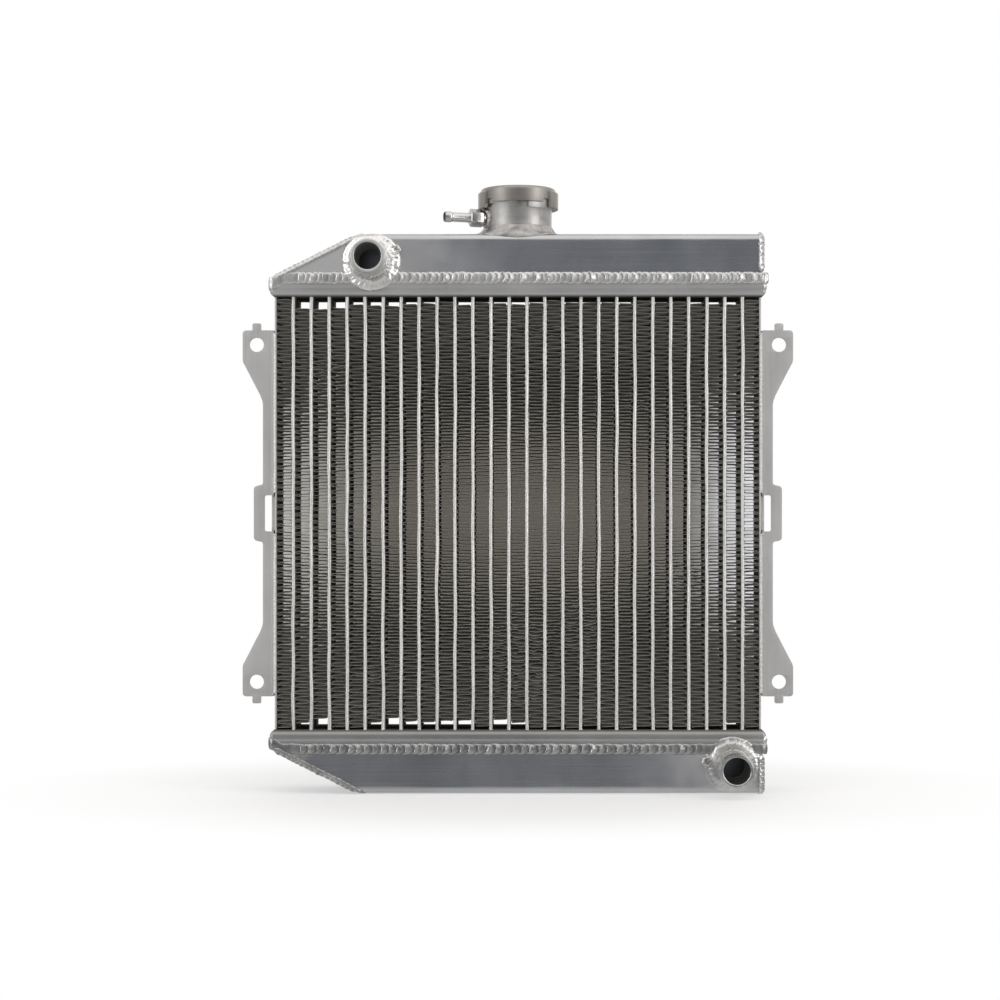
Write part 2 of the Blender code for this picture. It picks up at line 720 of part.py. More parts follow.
def build_cap():
    hang_on_cap(revolve("cap_cover", cover_section, COVER_ANGLES, CAP_STEEL, origin=CAP_ORIGIN))
    for name, mat, steps, base, section in CAP_ROUNDS:
        raised = [(radius, base + height) for radius, height in section]
        hang_on_cap(turned(name, raised, steps, mat, origin=CAP_ORIGIN))
    build_spring(
        "cap_main_spring", radius=11.0, wire=2.0, low=SEAT_Z + 4.8, high=RIM_Z - 1.0,
        turns=4.6, steps=14, sides=6,
    )
    build_spring(
        "vacuum_valve_spring", radius=3.4, wire=0.6, low=SEAT_Z + 4.1, high=SEAT_Z + 6.5,
        turns=2.6, steps=12, sides=5,
    )


# ---------------------------------------------------------------- assembly
build_core_bundle()
build_fin_strips()
for side, sign in (("left", -1), ("right", 1)):
    build_side_plate(side, sign)
    build_bracket(side, sign)
build_tank("top", INLET, is_top=True)
build_tank("bottom", OUTLET, is_top=False)
build_seam_weld("top", flip(SEAM), INLET)
build_seam_weld("bottom", SEAM, OUTLET)
build_pipe("inlet", INLET)
build_pipe("outlet", OUTLET)
build_neck()
build_barb()
turned("neck_weld", NECK_WELD_SECTION, 32, NECK_ALU)
build_cap()

bpy.context.view_layer.update()
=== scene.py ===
"""Car radiator: a finned core between two tanks, with hose pipes, mounting brackets, filler neck
and pressure cap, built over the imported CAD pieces.

It stands upright. X runs from the left bracket (-) to the right one (+), Y from front (-) to
back (+), and Z up from the bottom tank's outer face. The filler neck's axis is x = y = 0.
Shapes are in millimetres and become metres when a mesh is made. Shaders, the stage, the lights
and the camera are in metres. Shapes of the top half are mirrored in height for the bottom."""
import math

import bmesh
import bpy
import numpy as np
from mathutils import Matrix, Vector


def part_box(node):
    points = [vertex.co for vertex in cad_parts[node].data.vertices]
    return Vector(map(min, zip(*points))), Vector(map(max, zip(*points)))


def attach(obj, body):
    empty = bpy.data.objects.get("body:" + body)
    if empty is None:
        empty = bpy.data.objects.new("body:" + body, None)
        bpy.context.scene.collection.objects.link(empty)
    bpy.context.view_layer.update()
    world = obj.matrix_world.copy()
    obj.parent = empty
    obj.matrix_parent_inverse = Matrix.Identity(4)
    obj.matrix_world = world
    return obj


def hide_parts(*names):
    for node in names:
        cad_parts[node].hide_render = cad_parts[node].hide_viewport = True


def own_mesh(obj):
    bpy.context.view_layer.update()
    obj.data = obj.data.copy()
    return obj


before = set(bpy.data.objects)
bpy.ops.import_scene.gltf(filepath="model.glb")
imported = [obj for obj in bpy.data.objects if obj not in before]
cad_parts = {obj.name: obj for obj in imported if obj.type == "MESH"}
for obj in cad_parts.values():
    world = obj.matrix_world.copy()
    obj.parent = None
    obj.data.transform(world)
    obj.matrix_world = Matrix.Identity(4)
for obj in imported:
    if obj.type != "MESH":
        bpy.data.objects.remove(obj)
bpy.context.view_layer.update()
MM = 0.001
PI = math.pi


def box_mm(node):
    low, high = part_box(node)
    return np.array(low) / MM, np.array(high) / MM


def middle(node):
    low, high = box_mm(node)
    return (low + high) / 2


# ------------------------------------------------------------------ driving sizes
TANK_RIGHT, TANK_Y, HEIGHT = box_mm("top_tank_shell")[1]
SEAM = box_mm("bottom_tank_shell")[1][2]      # joint of bottom tank and header
TOP_SEAM = HEIGHT - SEAM
MID_Z = HEIGHT / 2
FOLD = 6.0                                    # outer radius of the tanks' long folds
CHAMFER_X = 122.0                             # the sloping ends leave the outer face at -x
SLOPE = 0.5                                   # rise over run of the sloping ends
HEAD_X, HEAD_Y = box_mm("core_tubes_and_headers")[1][:2]
PLATE_LEFT = box_mm("side_plate_left")
PLATE_RIGHT = box_mm("side_plate_right")
HEADER_FACE = PLATE_LEFT[0][2] - 0.3          # core side of the bottom header
FIN_COUNT = 27
FIN_MID = [middle("fin_strip_%02d" % (i + 1))[0] for i in range(FIN_COUNT)]
TUBE_MID = [(a + b) / 2 for a, b in zip(FIN_MID, FIN_MID[1:])]
TUBE_THICK = 2.65
CELL = FIN_MID[1] - FIN_MID[0] - TUBE_THICK   # clear width between two tubes
TUBE_Y = PLATE_LEFT[1][1]

INLET = middle("inlet_pipe")
OUTLET = middle("outlet_pipe")
PIPE_LOW, PIPE_HIGH = box_mm("inlet_pipe")
PIPE_BEAD = (PIPE_HIGH[0] - PIPE_LOW[0]) / 2  # radius over the raised ring
PIPE_R = PIPE_BEAD - 0.9
PIPE_BORE = 10.3

FLANGE_R, _, RIM = box_mm("filler_neck")[1]
NECK_R = 26.5
THROAT_R = 22.2
SEAT_R = 15.5
SEAT_Z = RIM - 21.6
CAM_RISE = 2.5
CAM_LOW = RIM - 7.0
BARB_TIP = box_mm("overflow_barb")[0][0]
BARB_Z = middle("overflow_barb")[2]
BARB_TURN = math.radians(200.0)

CAP_LOW, CAP_HIGH = box_mm("cap_cover")
EAR_R, CAP_TOP = CAP_HIGH[0], CAP_HIGH[2]
SKIRT_R = EAR_R - 1.9
SKIRT_IN = 28.6
EAR_HALF, RELIEF_HALF = 35.0, 46.0            # half angles, in degrees
SKIRT_LOW, EAR_LOW, RELIEF_LOW = RIM - 5.0, CAP_LOW[2], RIM - 2.4


# ------------------------------------------------------------------ smooth repeatable noise
class Wave:
    """A sum of sines in three directions, the same on every run."""

    def __init__(self, seed, size, terms=10):
        rng = np.random.default_rng(seed)
        ways = rng.normal(size=(terms, 3))
        ways /= np.linalg.norm(ways, axis=1)[:, None]
        self.rates = ways * (2 * PI / size) * rng.uniform(0.55, 1.6, size=(terms, 1))
        self.phases = rng.uniform(0, 2 * PI, terms)
        self.scale = math.sqrt(terms / 2)

    def __call__(self, points):
        points = np.atleast_2d(np.asarray(points, float))
        return np.sin(points @ self.rates.T + self.phases).sum(axis=1) / self.scale

    def at(self, x, y, z):
        return float(self([(x, y, z)])[0])


def line_wave(seed, size, terms=8):
    """The same along a single length."""
    rng = np.random.default_rng(seed + 1)
    rates = 2 * PI / size * rng.uniform(0.4, 1.8, terms)
    phases = rng.uniform(0, 2 * PI, terms)

    def wave(t):
        angles = np.multiply.outer(np.asarray(t, float), rates) + phases
        return np.sin(angles).sum(axis=-1) / math.sqrt(terms / 2)

    return wave


def clamp01(value):
    return min(1.0, max(0.0, value))


def ease(value, start, end):
    t = clamp01((value - start) / (end - start))
    return t * t * (3 - 2 * t)


# ------------------------------------------------------------------ meshes
def smooth_mesh(mesh, angle):
    mesh.shade_smooth()
    mesh.set_sharp_from_angle(angle=math.radians(angle))


def make(name, verts, faces, material=None, smooth=True, angle=40, body="radiator"):
    mesh = bpy.data.meshes.new(name)
    points = (np.asarray(verts, float) * MM).tolist()
    mesh.from_pydata(points, [], [list(map(int, face)) for face in faces])
    mesh.validate()
    mesh.update()
    if smooth:
        smooth_mesh(mesh, angle)
    obj = bpy.data.objects.new(name, mesh)
    bpy.context.scene.collection.objects.link(obj)
    if material:
        mesh.materials.append(material)
    if body:
        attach(obj, body)
    return obj


def claim(obj, slot=None, node=None):
    if node:
        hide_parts(node)
    return obj


def outward(obj, weld=False, fan=True):
    """Points every face outwards, after welding doubles or fanning large faces if asked."""
    bm = bmesh.new()
    bm.from_mesh(obj.data)
    if weld:
        bmesh.ops.remove_doubles(bm, verts=bm.verts, dist=1e-7)
        bmesh.ops.dissolve_degenerate(bm, dist=1e-8, edges=bm.edges)
    large = [face for face in bm.faces if len(face.verts) > 4]
    if fan and large:
        bmesh.ops.triangulate(bm, faces=large)
    bmesh.ops.recalc_face_normals(bm, faces=bm.faces)
    if bm.calc_volume(signed=True) < 0:
        bmesh.ops.reverse_faces(bm, faces=bm.faces)
    bm.to_mesh(obj.data)
    bm.free()
    return obj


def loft(rings, closed=False):
    """Skin over (n, m, 3) closed rings, capped at both ends unless the path closes."""
    rings = np.asarray(rings, float)
    n, m, _ = rings.shape
    faces = []
    for i in range(n if closed else n - 1):
        a, b = i * m, ((i + 1) % n) * m
        for k in range(m):
            j = (k + 1) % m
            faces.append((a + k, a + j, b + j, b + k))
    if not closed:
        faces.append(tuple(range(m - 1, -1, -1)))
        faces.append(tuple(range((n - 1) * m, n * m)))
    return rings.reshape(-1, 3), faces


def lofted(name, rings, material=None, slot=None, node=None, closed=False, **options):
    obj = make(name, *loft(rings, closed), material, **options)
    return claim(outward(obj), slot, node)


def along_y(u, v, w):
    return (u, w, v)


def along_z(u, v, w):
    return (u, v, w)


def revolved(name, loops, turns, material, slot=None, node=None, place=along_z, angle=35,
             body="radiator"):
    """Solid of revolution. loops holds one closed (radius, height) loop for each angle in turns,
    and place puts a point (u, v, height) into space."""
    rings = [[place(r * math.cos(t), r * math.sin(t), h) for r, h in loop]
             for t, loop in zip(turns, loops)]
    verts, faces = loft(rings, closed=True)
    faces = [(a, d, c, b) for a, b, c, d in faces]
    obj = outward(make(name, verts, faces, material, body=body), weld=True, fan=False)
    smooth_mesh(obj.data, angle)
    return claim(obj, slot, node)


def turned(name, profile, material, slot=None, node=None, segments=96, bump=None, **options):
    """Revolves one profile. bump(turns, profile) may add a (radius, height) shift per point."""
    profile = np.asarray(profile, float)
    turns = np.arange(segments) * 2 * PI / segments
    loops = np.repeat(profile[None], segments, axis=0)
    if bump is not None:
        loops = loops + bump(turns, profile)
    return revolved(name, loops, turns, material, slot, node, **options)


def over(base, profile):
    """Raises the heights of a (radius, height) profile by base."""
    return [(radius, base + height) for radius, height in profile]


def mirrored(points, turned_over):
    """Mirrors points in height when they belong to the other end of the radiator."""
    points = np.asarray(points, float)
    if turned_over:
        points[..., 2] = HEIGHT - points[..., 2]
    return points


def applied(obj):
    """Bakes an object's modifiers into its mesh."""
    graph = bpy.context.evaluated_depsgraph_get()
    mesh = bpy.data.meshes.new_from_object(obj.evaluated_get(graph))
    obj.modifiers.clear()
    old = obj.data
    obj.data = mesh
    bpy.data.meshes.remove(old)


def boolean(obj, tool, operation="DIFFERENCE"):
    modifier = obj.modifiers.new("b", "BOOLEAN")
    modifier.operation = operation
    modifier.solver = "EXACT"
    modifier.object = tool
    bpy.context.view_layer.update()
    applied(obj)
    bpy.data.objects.remove(tool, do_unlink=True)


def bevelled(obj, width, limit=40):
    modifier = obj.modifiers.new("v", "BEVEL")
    modifier.width = width * MM
    modifier.segments = 2
    modifier.limit_method = "ANGLE"
    modifier.angle_limit = math.radians(limit)
    bpy.context.view_layer.update()
    applied(obj)
    smooth_mesh(obj.data, 50)


def tool_prism(outline, low, high, place):
    """A prism to cut or join with."""
    n = len(outline)
    verts = [place(u, v, w) for w in (low, high) for u, v in outline]
    faces = [tuple(range(n)), tuple(range(2 * n - 1, n - 1, -1))]
    for k in range(n):
        j = (k + 1) % n
        faces.append((k, n + k, n + j, j))
    return outward(make("tool", verts, faces, smooth=False, body=None), fan=False)


def circle(radius, steps, centre=(0, 0), turn=0.0):
    angles = [2 * PI * (i + turn) / steps for i in range(steps)]
    return [(centre[0] + radius * math.cos(a), centre[1] + radius * math.sin(a)) for a in angles]


def rounded_rect(half_x, half_y, radius, steps, z=0.0, first=0):
    """Points and outward normals round a rectangle, starting at the given corner."""
    points, normals = [], []
    for corner in range(first, first + 4):
        corner %= 4
        side_x, side_y = ((1, 1), (-1, 1), (-1, -1), (1, -1))[corner]
        for k in range(steps + 1):
            a = math.radians(90 * corner + 90 * k / steps)
            points.append((side_x * (half_x - radius) + radius * math.cos(a),
                           side_y * (half_y - radius) + radius * math.sin(a), z))
            normals.append((math.cos(a), math.sin(a), 0))
    return np.array(points, float), np.array(normals, float)


def lengths_along(path):
    return np.concatenate([[0], np.cumsum(np.linalg.norm(np.diff(path, axis=0), axis=1))])


def resample(curve, reach, at):
    return np.stack([np.interp(at, reach, curve[:, k]) for k in range(3)], 1)


# ------------------------------------------------------------------ shader tools
MID = (0.3, 0.7)      # the part of a noise's range that is spread over the output
FALL = (1.0, 0.0)


def grey(value):
    return (value, value, value)


def tint(colour, factor):
    return tuple(min(1.0, c * factor) for c in colour)


class Shader:
    """Short ways to add nodes to a material's or world's tree. Most return an output socket."""

    def __init__(self, owner, space="Object"):
        owner.use_nodes = True
        self.owner = owner
        self.tree = owner.node_tree
        self.coord = self.add("TexCoord").outputs[space]

    def find(self, kind):
        return next(node for node in self.tree.nodes if node.type == kind)

    def feed(self, node, inputs):
        for key, value in inputs.items():
            socket = node.inputs[key]
            if isinstance(value, bpy.types.NodeSocket):
                self.tree.links.new(value, socket)
            elif socket.type == "RGBA":
                socket.default_value = (*value, 1.0)
            else:
                socket.default_value = value

    def add(self, kind, inputs=None, **settings):
        node = self.tree.nodes.new("ShaderNode" + kind)
        for key, value in settings.items():
            setattr(node, key, value)
        self.feed(node, inputs or {})
        return node

    def principled(self, inputs):
        self.feed(self.find("BSDF_PRINCIPLED"), inputs)
        return self.owner

    def surface(self, shader):
        self.feed(self.find("OUTPUT_MATERIAL"), {"Surface": shader})
        return self.owner

    def scaled(self, scale):
        return self.add("Mapping", {"Scale": scale, "Vector": self.coord}).outputs["Vector"]

    def noise(self, scale, detail=3.0, rough=0.55, vector=None, distort=0.0):
        return self.add("TexNoise", {
            "Scale": scale, "Detail": detail, "Roughness": rough, "Distortion": distort,
            "Vector": vector or self.coord}).outputs["Fac"]

    def ramp(self, value, stops):
        node = self.add("ValToRGB", {"Fac": value})
        elements = node.color_ramp.elements
        while len(elements) < len(stops):
            elements.new(0.5)
        for element, (position, colour) in zip(elements, stops):
            element.position = position
            element.color = (*colour, 1.0)
        return node.outputs["Color"]

    def span(self, value, source, target=(0.0, 1.0), **settings):
        """Maps the range source onto the range target, held at its ends."""
        return self.add("MapRange", {
            "From Min": source[0], "From Max": source[1], "To Min": target[0],
            "To Max": target[1], "Value": value}, **settings).outputs["Result"]

    def mix(self, amount, a, b, blend="MIX"):
        return self.add("Mix", {}, data_type="RGBA", blend_type=blend) and self._mixed(
            amount, a, b)

    def _mixed(self, amount, a, b):
        node = self.tree.nodes[-1]
        self.feed(node, {0: amount, 6: a, 7: b})
        return node.outputs[2]

    def math(self, operation, a, b=0.0):
        return self.add("Math", {0: a, 1: b}, operation=operation).outputs[0]

    def times(self, a, b):
        return self.math("MULTIPLY", a, b)

    def plus(self, a, b):
        return self.math("ADD", a, b)

    def minus(self, a, b):
        return self.math("SUBTRACT", a, b)

    def distance(self, dx, dz):
        return self.math("SQRT", self.plus(self.times(dx, dx), self.times(dz, dz)))

    def bump(self, height, distance, strength, normal=None):
        inputs = {"Distance": distance, "Strength": strength, "Height": height}
        if normal is not None:
            inputs["Normal"] = normal
        return self.add("Bump", inputs).outputs["Normal"]

    def split(self, vector=None):
        return self.add("SeparateXYZ", {"Vector": vector or self.coord}).outputs

    def normal(self, axis):
        return self.split(self.add("NewGeometry").outputs["Normal"])[axis]

    def mix_shader(self, amount, a, b):
        return self.add("MixShader", {"Fac": amount, 1: a, 2: b}).outputs["Shader"]


def plain_mix(self, amount, a, b, blend="MIX"):
    node = self.add("Mix", data_type="RGBA", blend_type=blend)
    self.feed(node, {0: amount, 6: a, 7: b})
    return node.outputs[2]


Shader.mix = plain_mix
del Shader._mixed


def metal(name, light, dark, rough, spread, grain, blotch, grain_depth=0.00002, fine=420.0,
          fine_depth=0.000015, stain=None, metallic=1.0, shade=None, sanded=None, streak=False,
          line=0.35, ridged=0.0, inner=None):
    """A worn bare metal: brush lines, cloudy tone and roughness, fine pitting and faint stains.

    light, dark: the two cloud tones       rough, spread: mean roughness and its swing
    grain, grain_depth: line noise scale on each axis, and line relief in metres
    blotch: cloud scale                    fine, fine_depth: pitting scale and relief
    stain: colour of the spots             line: how strongly the lines lighten the tone
    streak: long pale bands, painted reflection  ridged: painted shade and highlight along each
    puddle
    shade: returns (tone, dull mask or None)
    sanded: returns a mask of sanded metal
    inner: a faint glow for surfaces in deep shade"""
    n = Shader(bpy.data.materials.new(name))
    lines = n.noise(scale=1.0, detail=4.0, rough=0.6, vector=n.scaled(grain))
    cloud = n.noise(scale=blotch, detail=4.0, rough=0.6, distort=0.4)
    speck = n.noise(scale=fine, detail=2.0, rough=0.5)
    tone = n.mix(n.span(cloud, MID), dark, light)
    tone = n.mix(n.times(n.span(lines, MID), line), tone, tint(light, 1.12))
    if stain is not None:
        spot = n.noise(scale=38.0, detail=5.0, rough=0.7, distort=1.2)
        tone = n.mix(n.span(spot, source=(0.60, 0.78), target=(0.0, 0.55)), tone, stain)
    roughness = n.plus(
        n.span(cloud, source=(0.25, 0.75), target=(rough - spread, rough + spread)),
        n.span(lines, MID, target=(-spread * 0.6, spread * 0.6)))
    if streak:
        # painted reflection: long pale bands in the tone, standing in for soft reflections in the
        # sheet
        band = n.noise(scale=1.0, rough=0.55, vector=n.scaled((16, 16, 4.5)), distort=0.8)
        amount = n.span(band, source=(0.28, 0.78), target=(0.0, 0.5))
        tone = n.mix(amount, tone, tint(light, 1.22))
    normal = n.bump(lines, distance=grain_depth, strength=0.6)
    normal = n.bump(speck, distance=fine_depth, strength=0.5, normal=normal)
    if sanded is not None:
        # sanded metal is rougher, less mirror-like and paler
        mask = sanded(n)
        roughness = n.plus(roughness, n.times(mask, 0.22))
        metallic = n.minus(metallic, n.times(mask, 0.62))
        tone = n.mix(n.times(mask, 0.8), tone, (0.62, 0.61, 0.605))
    if ridged > 0:
        # "ridge" runs from 1 to 2 on a bead: painted shade on the puddle tails, painted highlight
        # on the leading lips
        ridge = n.add("Attribute", attribute_name="ridge").outputs["Fac"]
        laid = n.math("GREATER_THAN", ridge, 0.5)
        tail = n.span(ridge, source=(1.45, 1.12), target=(0.0, ridged))
        tone = n.mix(n.times(laid, tail), tone, tint(dark, 0.36))
        lip = n.span(ridge, source=(1.72, 1.92), target=(0.0, ridged))
        tone = n.mix(n.times(laid, lip), tone, tint(light, 1.35))
    if shade is not None:
        tone, dull = shade(n, tone)
        if dull is not None:
            # dull parts: no metal, roughness 0.9, no highlight
            keep = n.minus(1.0, dull)
            metallic = n.times(metallic, keep)
            roughness = n.plus(n.times(roughness, keep), n.times(dull, 0.9))
            n.principled({"Specular IOR Level": n.times(keep, 0.5)})
    if inner is not None:
        n.principled({"Emission Color": inner, "Emission Strength": 1.0})
    return n.principled({"Base Color": tone, "Roughness": roughness, "Metallic": metallic,
                         "Normal": normal})


# ------------------------------------------------------------------ local shading
# Sanded patches on the tanks: x, z, radius and fade in mm, then a squeeze of the x distance.
SANDED_SPOTS = [
    (INLET[0] - 16, INLET[2] - 8, 18.0, 84.0, 0.85),
    (OUTLET[0] + 6, OUTLET[2] + 4, 10.0, 78.0, 0.9),
    (-182.0, TOP_SEAM, 8.0, 36.0, 0.8),
    (-182.0, SEAM, 2.0, 22.0, 0.8),
]
CROSSOVER = (0.20, 0.24)     # heights between which the low header gives way to the top one


def sanded_patches(n):
    at = n.split()
    cloud = n.noise(scale=30.0, detail=4.0, rough=0.6, distort=0.6)
    total = None
    for x, z, radius, fade, squeeze in SANDED_SPOTS:
        dx = n.times(n.minus(at["X"], x * MM), squeeze)
        far = n.distance(dx, n.minus(at["Z"], z * MM))
        far = n.plus(far, n.span(cloud, MID, target=(-0.012, 0.012)))
        spot = n.span(far, source=(radius * MM, (radius + fade) * MM), target=FALL)
        total = spot if total is None else n.math("MAXIMUM", total, spot)
    front = n.span(at["Y"], source=(-0.020, -0.010), target=(1.0, 0.15))
    return n.times(n.math("POWER", total, 1.6), front)


def header_painted_shade_and_light(n, tone):
    """Painted shade on the faces that look into the core, which are also made matte; the bottom
    header is painted darker and the top one lighter, for how light falls on each.
    """
    up = n.normal("Z")
    height = n.split()["Z"]
    # painted shade: the faces that look into the core turn dark and matte
    inward = n.times(up, n.span(height, CROSSOVER, target=(1.0, -1.0)))
    dull = n.span(inward, source=(0.62, 0.94))
    # painted shade: the bottom header darker
    tone = n.mix(n.span(height, CROSSOVER, target=(0.34, 0.0)), tone, (0.05, 0.05, 0.052))
    # painted light: the top header lighter
    tone = n.mix(n.span(height, CROSSOVER, target=(0.0, 0.06)), tone, (0.92, 0.91, 0.90))
    return n.mix(dull, tone, (0.13, 0.127, 0.118)), dull


def bore_painted_shade(centre):
    """Painted shade: a darker tone on a pipe's inner wall."""
    def shade(n, tone):
        at = n.split()
        far = n.distance(n.minus(at["X"], centre[0] * MM), n.minus(at["Z"], centre[2] * MM))
        edge = ((PIPE_BORE + 0.1) * MM, (PIPE_BORE + 0.5) * MM)
        return n.mix(n.span(far, edge, FALL), tone, (0.34, 0.345, 0.32)), None
    return shade


def fin_edge_painted_light(n, tone):
    """Painted light: the front and back edges take one light tone, lighter than the sheet deep
    between the tubes.
    """
    y = n.math("ABSOLUTE", n.split()["Y"])
    return n.mix(n.span(y, source=(0.0226, 0.0238)), tone, (0.58, 0.57, 0.545)), None


def wall_shade(n, tone):
    """Flat walls between the fins, out of the light of the room."""
    across = n.math("ABSOLUTE", n.normal("X"))
    x = n.math("ABSOLUTE", n.split()["X"])
    inside = n.span(x, source=(0.1882, 0.1886), target=FALL)
    dull = n.times(n.times(inside, n.span(across, source=(0.90, 0.99))), 0.92)
    return n.mix(dull, tone, (0.17, 0.165, 0.155)), dull


def barb_tip_painted_reflection(n, tone):
    """Painted reflection: a dark, patchy tone at the barb's open end, for the dark seen in its
    rounded tip.
    """
    x = n.split()["X"]
    end = n.span(x, source=((BARB_TIP + 1.4) * MM, (BARB_TIP + 3.0) * MM), target=(0.9, 0.0))
    patchy = n.span(n.noise(scale=160.0, rough=0.6), source=(0.30, 0.50), target=(0.6, 1.0))
    return n.mix(n.times(end, patchy), tone, (0.09, 0.085, 0.085)), None


# ------------------------------------------------------------------ materials
TANK = metal(
    "tank_sheet", light=(0.57, 0.575, 0.595), dark=(0.43, 0.435, 0.455), rough=0.27, spread=0.05,
    grain=(6, 900, 1400), blotch=9.0, stain=(0.38, 0.375, 0.37), streak=True,
    sanded=sanded_patches)
HEADER = metal(
    "header_sheet", light=(0.58, 0.575, 0.57), dark=grey(0.45), rough=0.44, spread=0.06,
    grain=(8, 900, 1500), blotch=16.0, stain=(0.38, 0.37, 0.35), metallic=0.8,
    shade=header_painted_shade_and_light)
TUBE = metal(
    "tube_stock", light=(0.90, 0.89, 0.86), dark=(0.76, 0.75, 0.72), rough=0.42, spread=0.05,
    grain=(900, 300, 12), grain_depth=0.000006, blotch=22.0, fine=300.0, fine_depth=0.000004,
    stain=(0.60, 0.58, 0.55), metallic=0.5, shade=wall_shade)
FIN = metal(
    "fin_stock", light=(0.60, 0.585, 0.535), dark=(0.45, 0.44, 0.40), rough=0.50, spread=0.08,
    grain=(40, 900, 900), blotch=14.0, stain=(0.34, 0.32, 0.285), metallic=0.7,
    shade=fin_edge_painted_light, inner=(0.021, 0.0205, 0.0192))
PLATE = metal(
    "side_sheet", light=(0.80, 0.79, 0.765), dark=(0.66, 0.655, 0.635), rough=0.48, spread=0.06,
    grain=(300, 700, 10), blotch=12.0, stain=(0.55, 0.54, 0.51), metallic=0.4,
    shade=wall_shade)
BRACKET = metal(
    "bracket_sheet", light=(0.60, 0.585, 0.58), dark=(0.49, 0.48, 0.475), rough=0.55,
    spread=0.05, grain=(500, 500, 14), blotch=18.0, stain=(0.50, 0.49, 0.48), metallic=0.35)
WELD = metal(
    "weld_metal", light=(0.78, 0.77, 0.765), dark=(0.56, 0.55, 0.545), rough=0.36, spread=0.06,
    grain=(300, 60, 60), line=0.55, ridged=0.34, blotch=60.0, fine=900.0,
    stain=(0.44, 0.42, 0.41), metallic=0.85)
# painted shade: a darker copy of the weld metal, for the bottom tank's beads
WELD_LOW = metal(
    "weld_metal_low", light=(0.55, 0.545, 0.54), dark=grey(0.26), rough=0.31, spread=0.07,
    grain=(300, 60, 60), line=0.5, ridged=0.48, blotch=60.0, fine=900.0,
    stain=(0.26, 0.25, 0.24), metallic=0.9)
# partly painted highlight: a pale, matte copy of the weld metal for the brackets' seam and slot
# welds, which show as a light line along each bend
WELD_LIGHT = metal(
    "weld_metal_light", light=(0.93, 0.92, 0.88), dark=(0.80, 0.79, 0.75), rough=0.42,
    spread=0.06, grain=grey(120), blotch=60.0, fine=900.0, stain=(0.62, 0.60, 0.55),
    metallic=0.45)
# partly painted highlight: a paler, glossier copy of the weld metal, for the inlet's cone and the
# right-hand welds that catch the light
WELD_PIPE = metal(
    "weld_metal_pipe", light=(0.93, 0.915, 0.905), dark=(0.68, 0.665, 0.655), rough=0.25,
    spread=0.08, grain=grey(120), blotch=90.0, fine=900.0, stain=(0.36, 0.33, 0.31),
    metallic=0.95)
WELD_OUTLET = metal(
    "weld_metal_outlet", light=(0.72, 0.71, 0.705), dark=(0.44, 0.435, 0.43), rough=0.33,
    spread=0.09, grain=(60, 60, 300), line=0.5, blotch=130.0, fine=900.0,
    stain=(0.34, 0.31, 0.29), metallic=0.9)
PIPE_IN = metal(
    "pipe_stock_inlet", light=(0.78, 0.775, 0.765), dark=(0.58, 0.575, 0.565), rough=0.36,
    spread=0.06, grain=(300, 30, 300), blotch=44.0, stain=(0.36, 0.35, 0.33), metallic=0.6,
    shade=bore_painted_shade(INLET), inner=(0.013, 0.0132, 0.012))
PIPE_OUT = metal(
    "pipe_stock_outlet", light=(0.80, 0.79, 0.78), dark=(0.42, 0.415, 0.41), rough=0.30,
    spread=0.08, grain=(300, 30, 300), blotch=130.0, stain=(0.30, 0.29, 0.28),
    shade=bore_painted_shade(OUTLET), inner=(0.013, 0.0132, 0.012))
NECK = metal(
    "neck_billet", light=(0.56, 0.55, 0.535), dark=(0.33, 0.318, 0.30), rough=0.42, spread=0.08,
    grain=(30, 30, 900), blotch=62.0, stain=(0.42, 0.40, 0.37), metallic=0.9)
WELD_NECK = metal(
    "weld_metal_neck", light=(0.60, 0.575, 0.57), dark=(0.31, 0.295, 0.29), rough=0.42,
    spread=0.07, grain=grey(220), blotch=150.0, fine=900.0, stain=(0.36, 0.34, 0.32),
    metallic=0.85)
CAP = metal(
    "cap_plate", light=(0.40, 0.372, 0.348), dark=(0.275, 0.256, 0.238), rough=0.43,
    spread=0.06, grain=(16, 16, 1500), blotch=30.0, stain=(0.34, 0.31, 0.27), metallic=0.9)
CAP_INNER = metal(
    "cap_inner_plate", light=(0.62, 0.60, 0.56), dark=(0.50, 0.48, 0.45), rough=0.32,
    spread=0.06, grain=grey(300), blotch=40.0)
BARB = metal(
    "barb_stock", light=(0.74, 0.73, 0.72), dark=(0.54, 0.53, 0.52), rough=0.26, spread=0.06,
    grain=(900, 300, 300), blotch=50.0, shade=barb_tip_painted_reflection)
SPRING = metal(
    "spring_wire", light=(0.55, 0.55, 0.56), dark=(0.38, 0.38, 0.40), rough=0.30, spread=0.06,
    grain=grey(200), blotch=80.0)
BRASS = metal(
    "brass_stock", light=(0.78, 0.57, 0.27), dark=(0.62, 0.43, 0.18), rough=0.28, spread=0.06,
    grain=(30, 30, 1500), blotch=80.0, stain=(0.36, 0.24, 0.12))

# Tint of the see-through screen of painted shade, from the core's left edge to its right: how much
# light it lets through.
SHADE_SCREEN_TONES = [
    (0.0, (0.74, 0.73, 0.71)), (0.07, (0.62, 0.61, 0.59)), (0.14, (0.46, 0.45, 0.425)),
    (0.26, (0.345, 0.33, 0.305)), (0.74, (0.345, 0.33, 0.305)), (0.86, (0.46, 0.45, 0.435)),
    (0.92, (0.78, 0.78, 0.79)), (1.0, (0.92, 0.92, 0.94)),
]


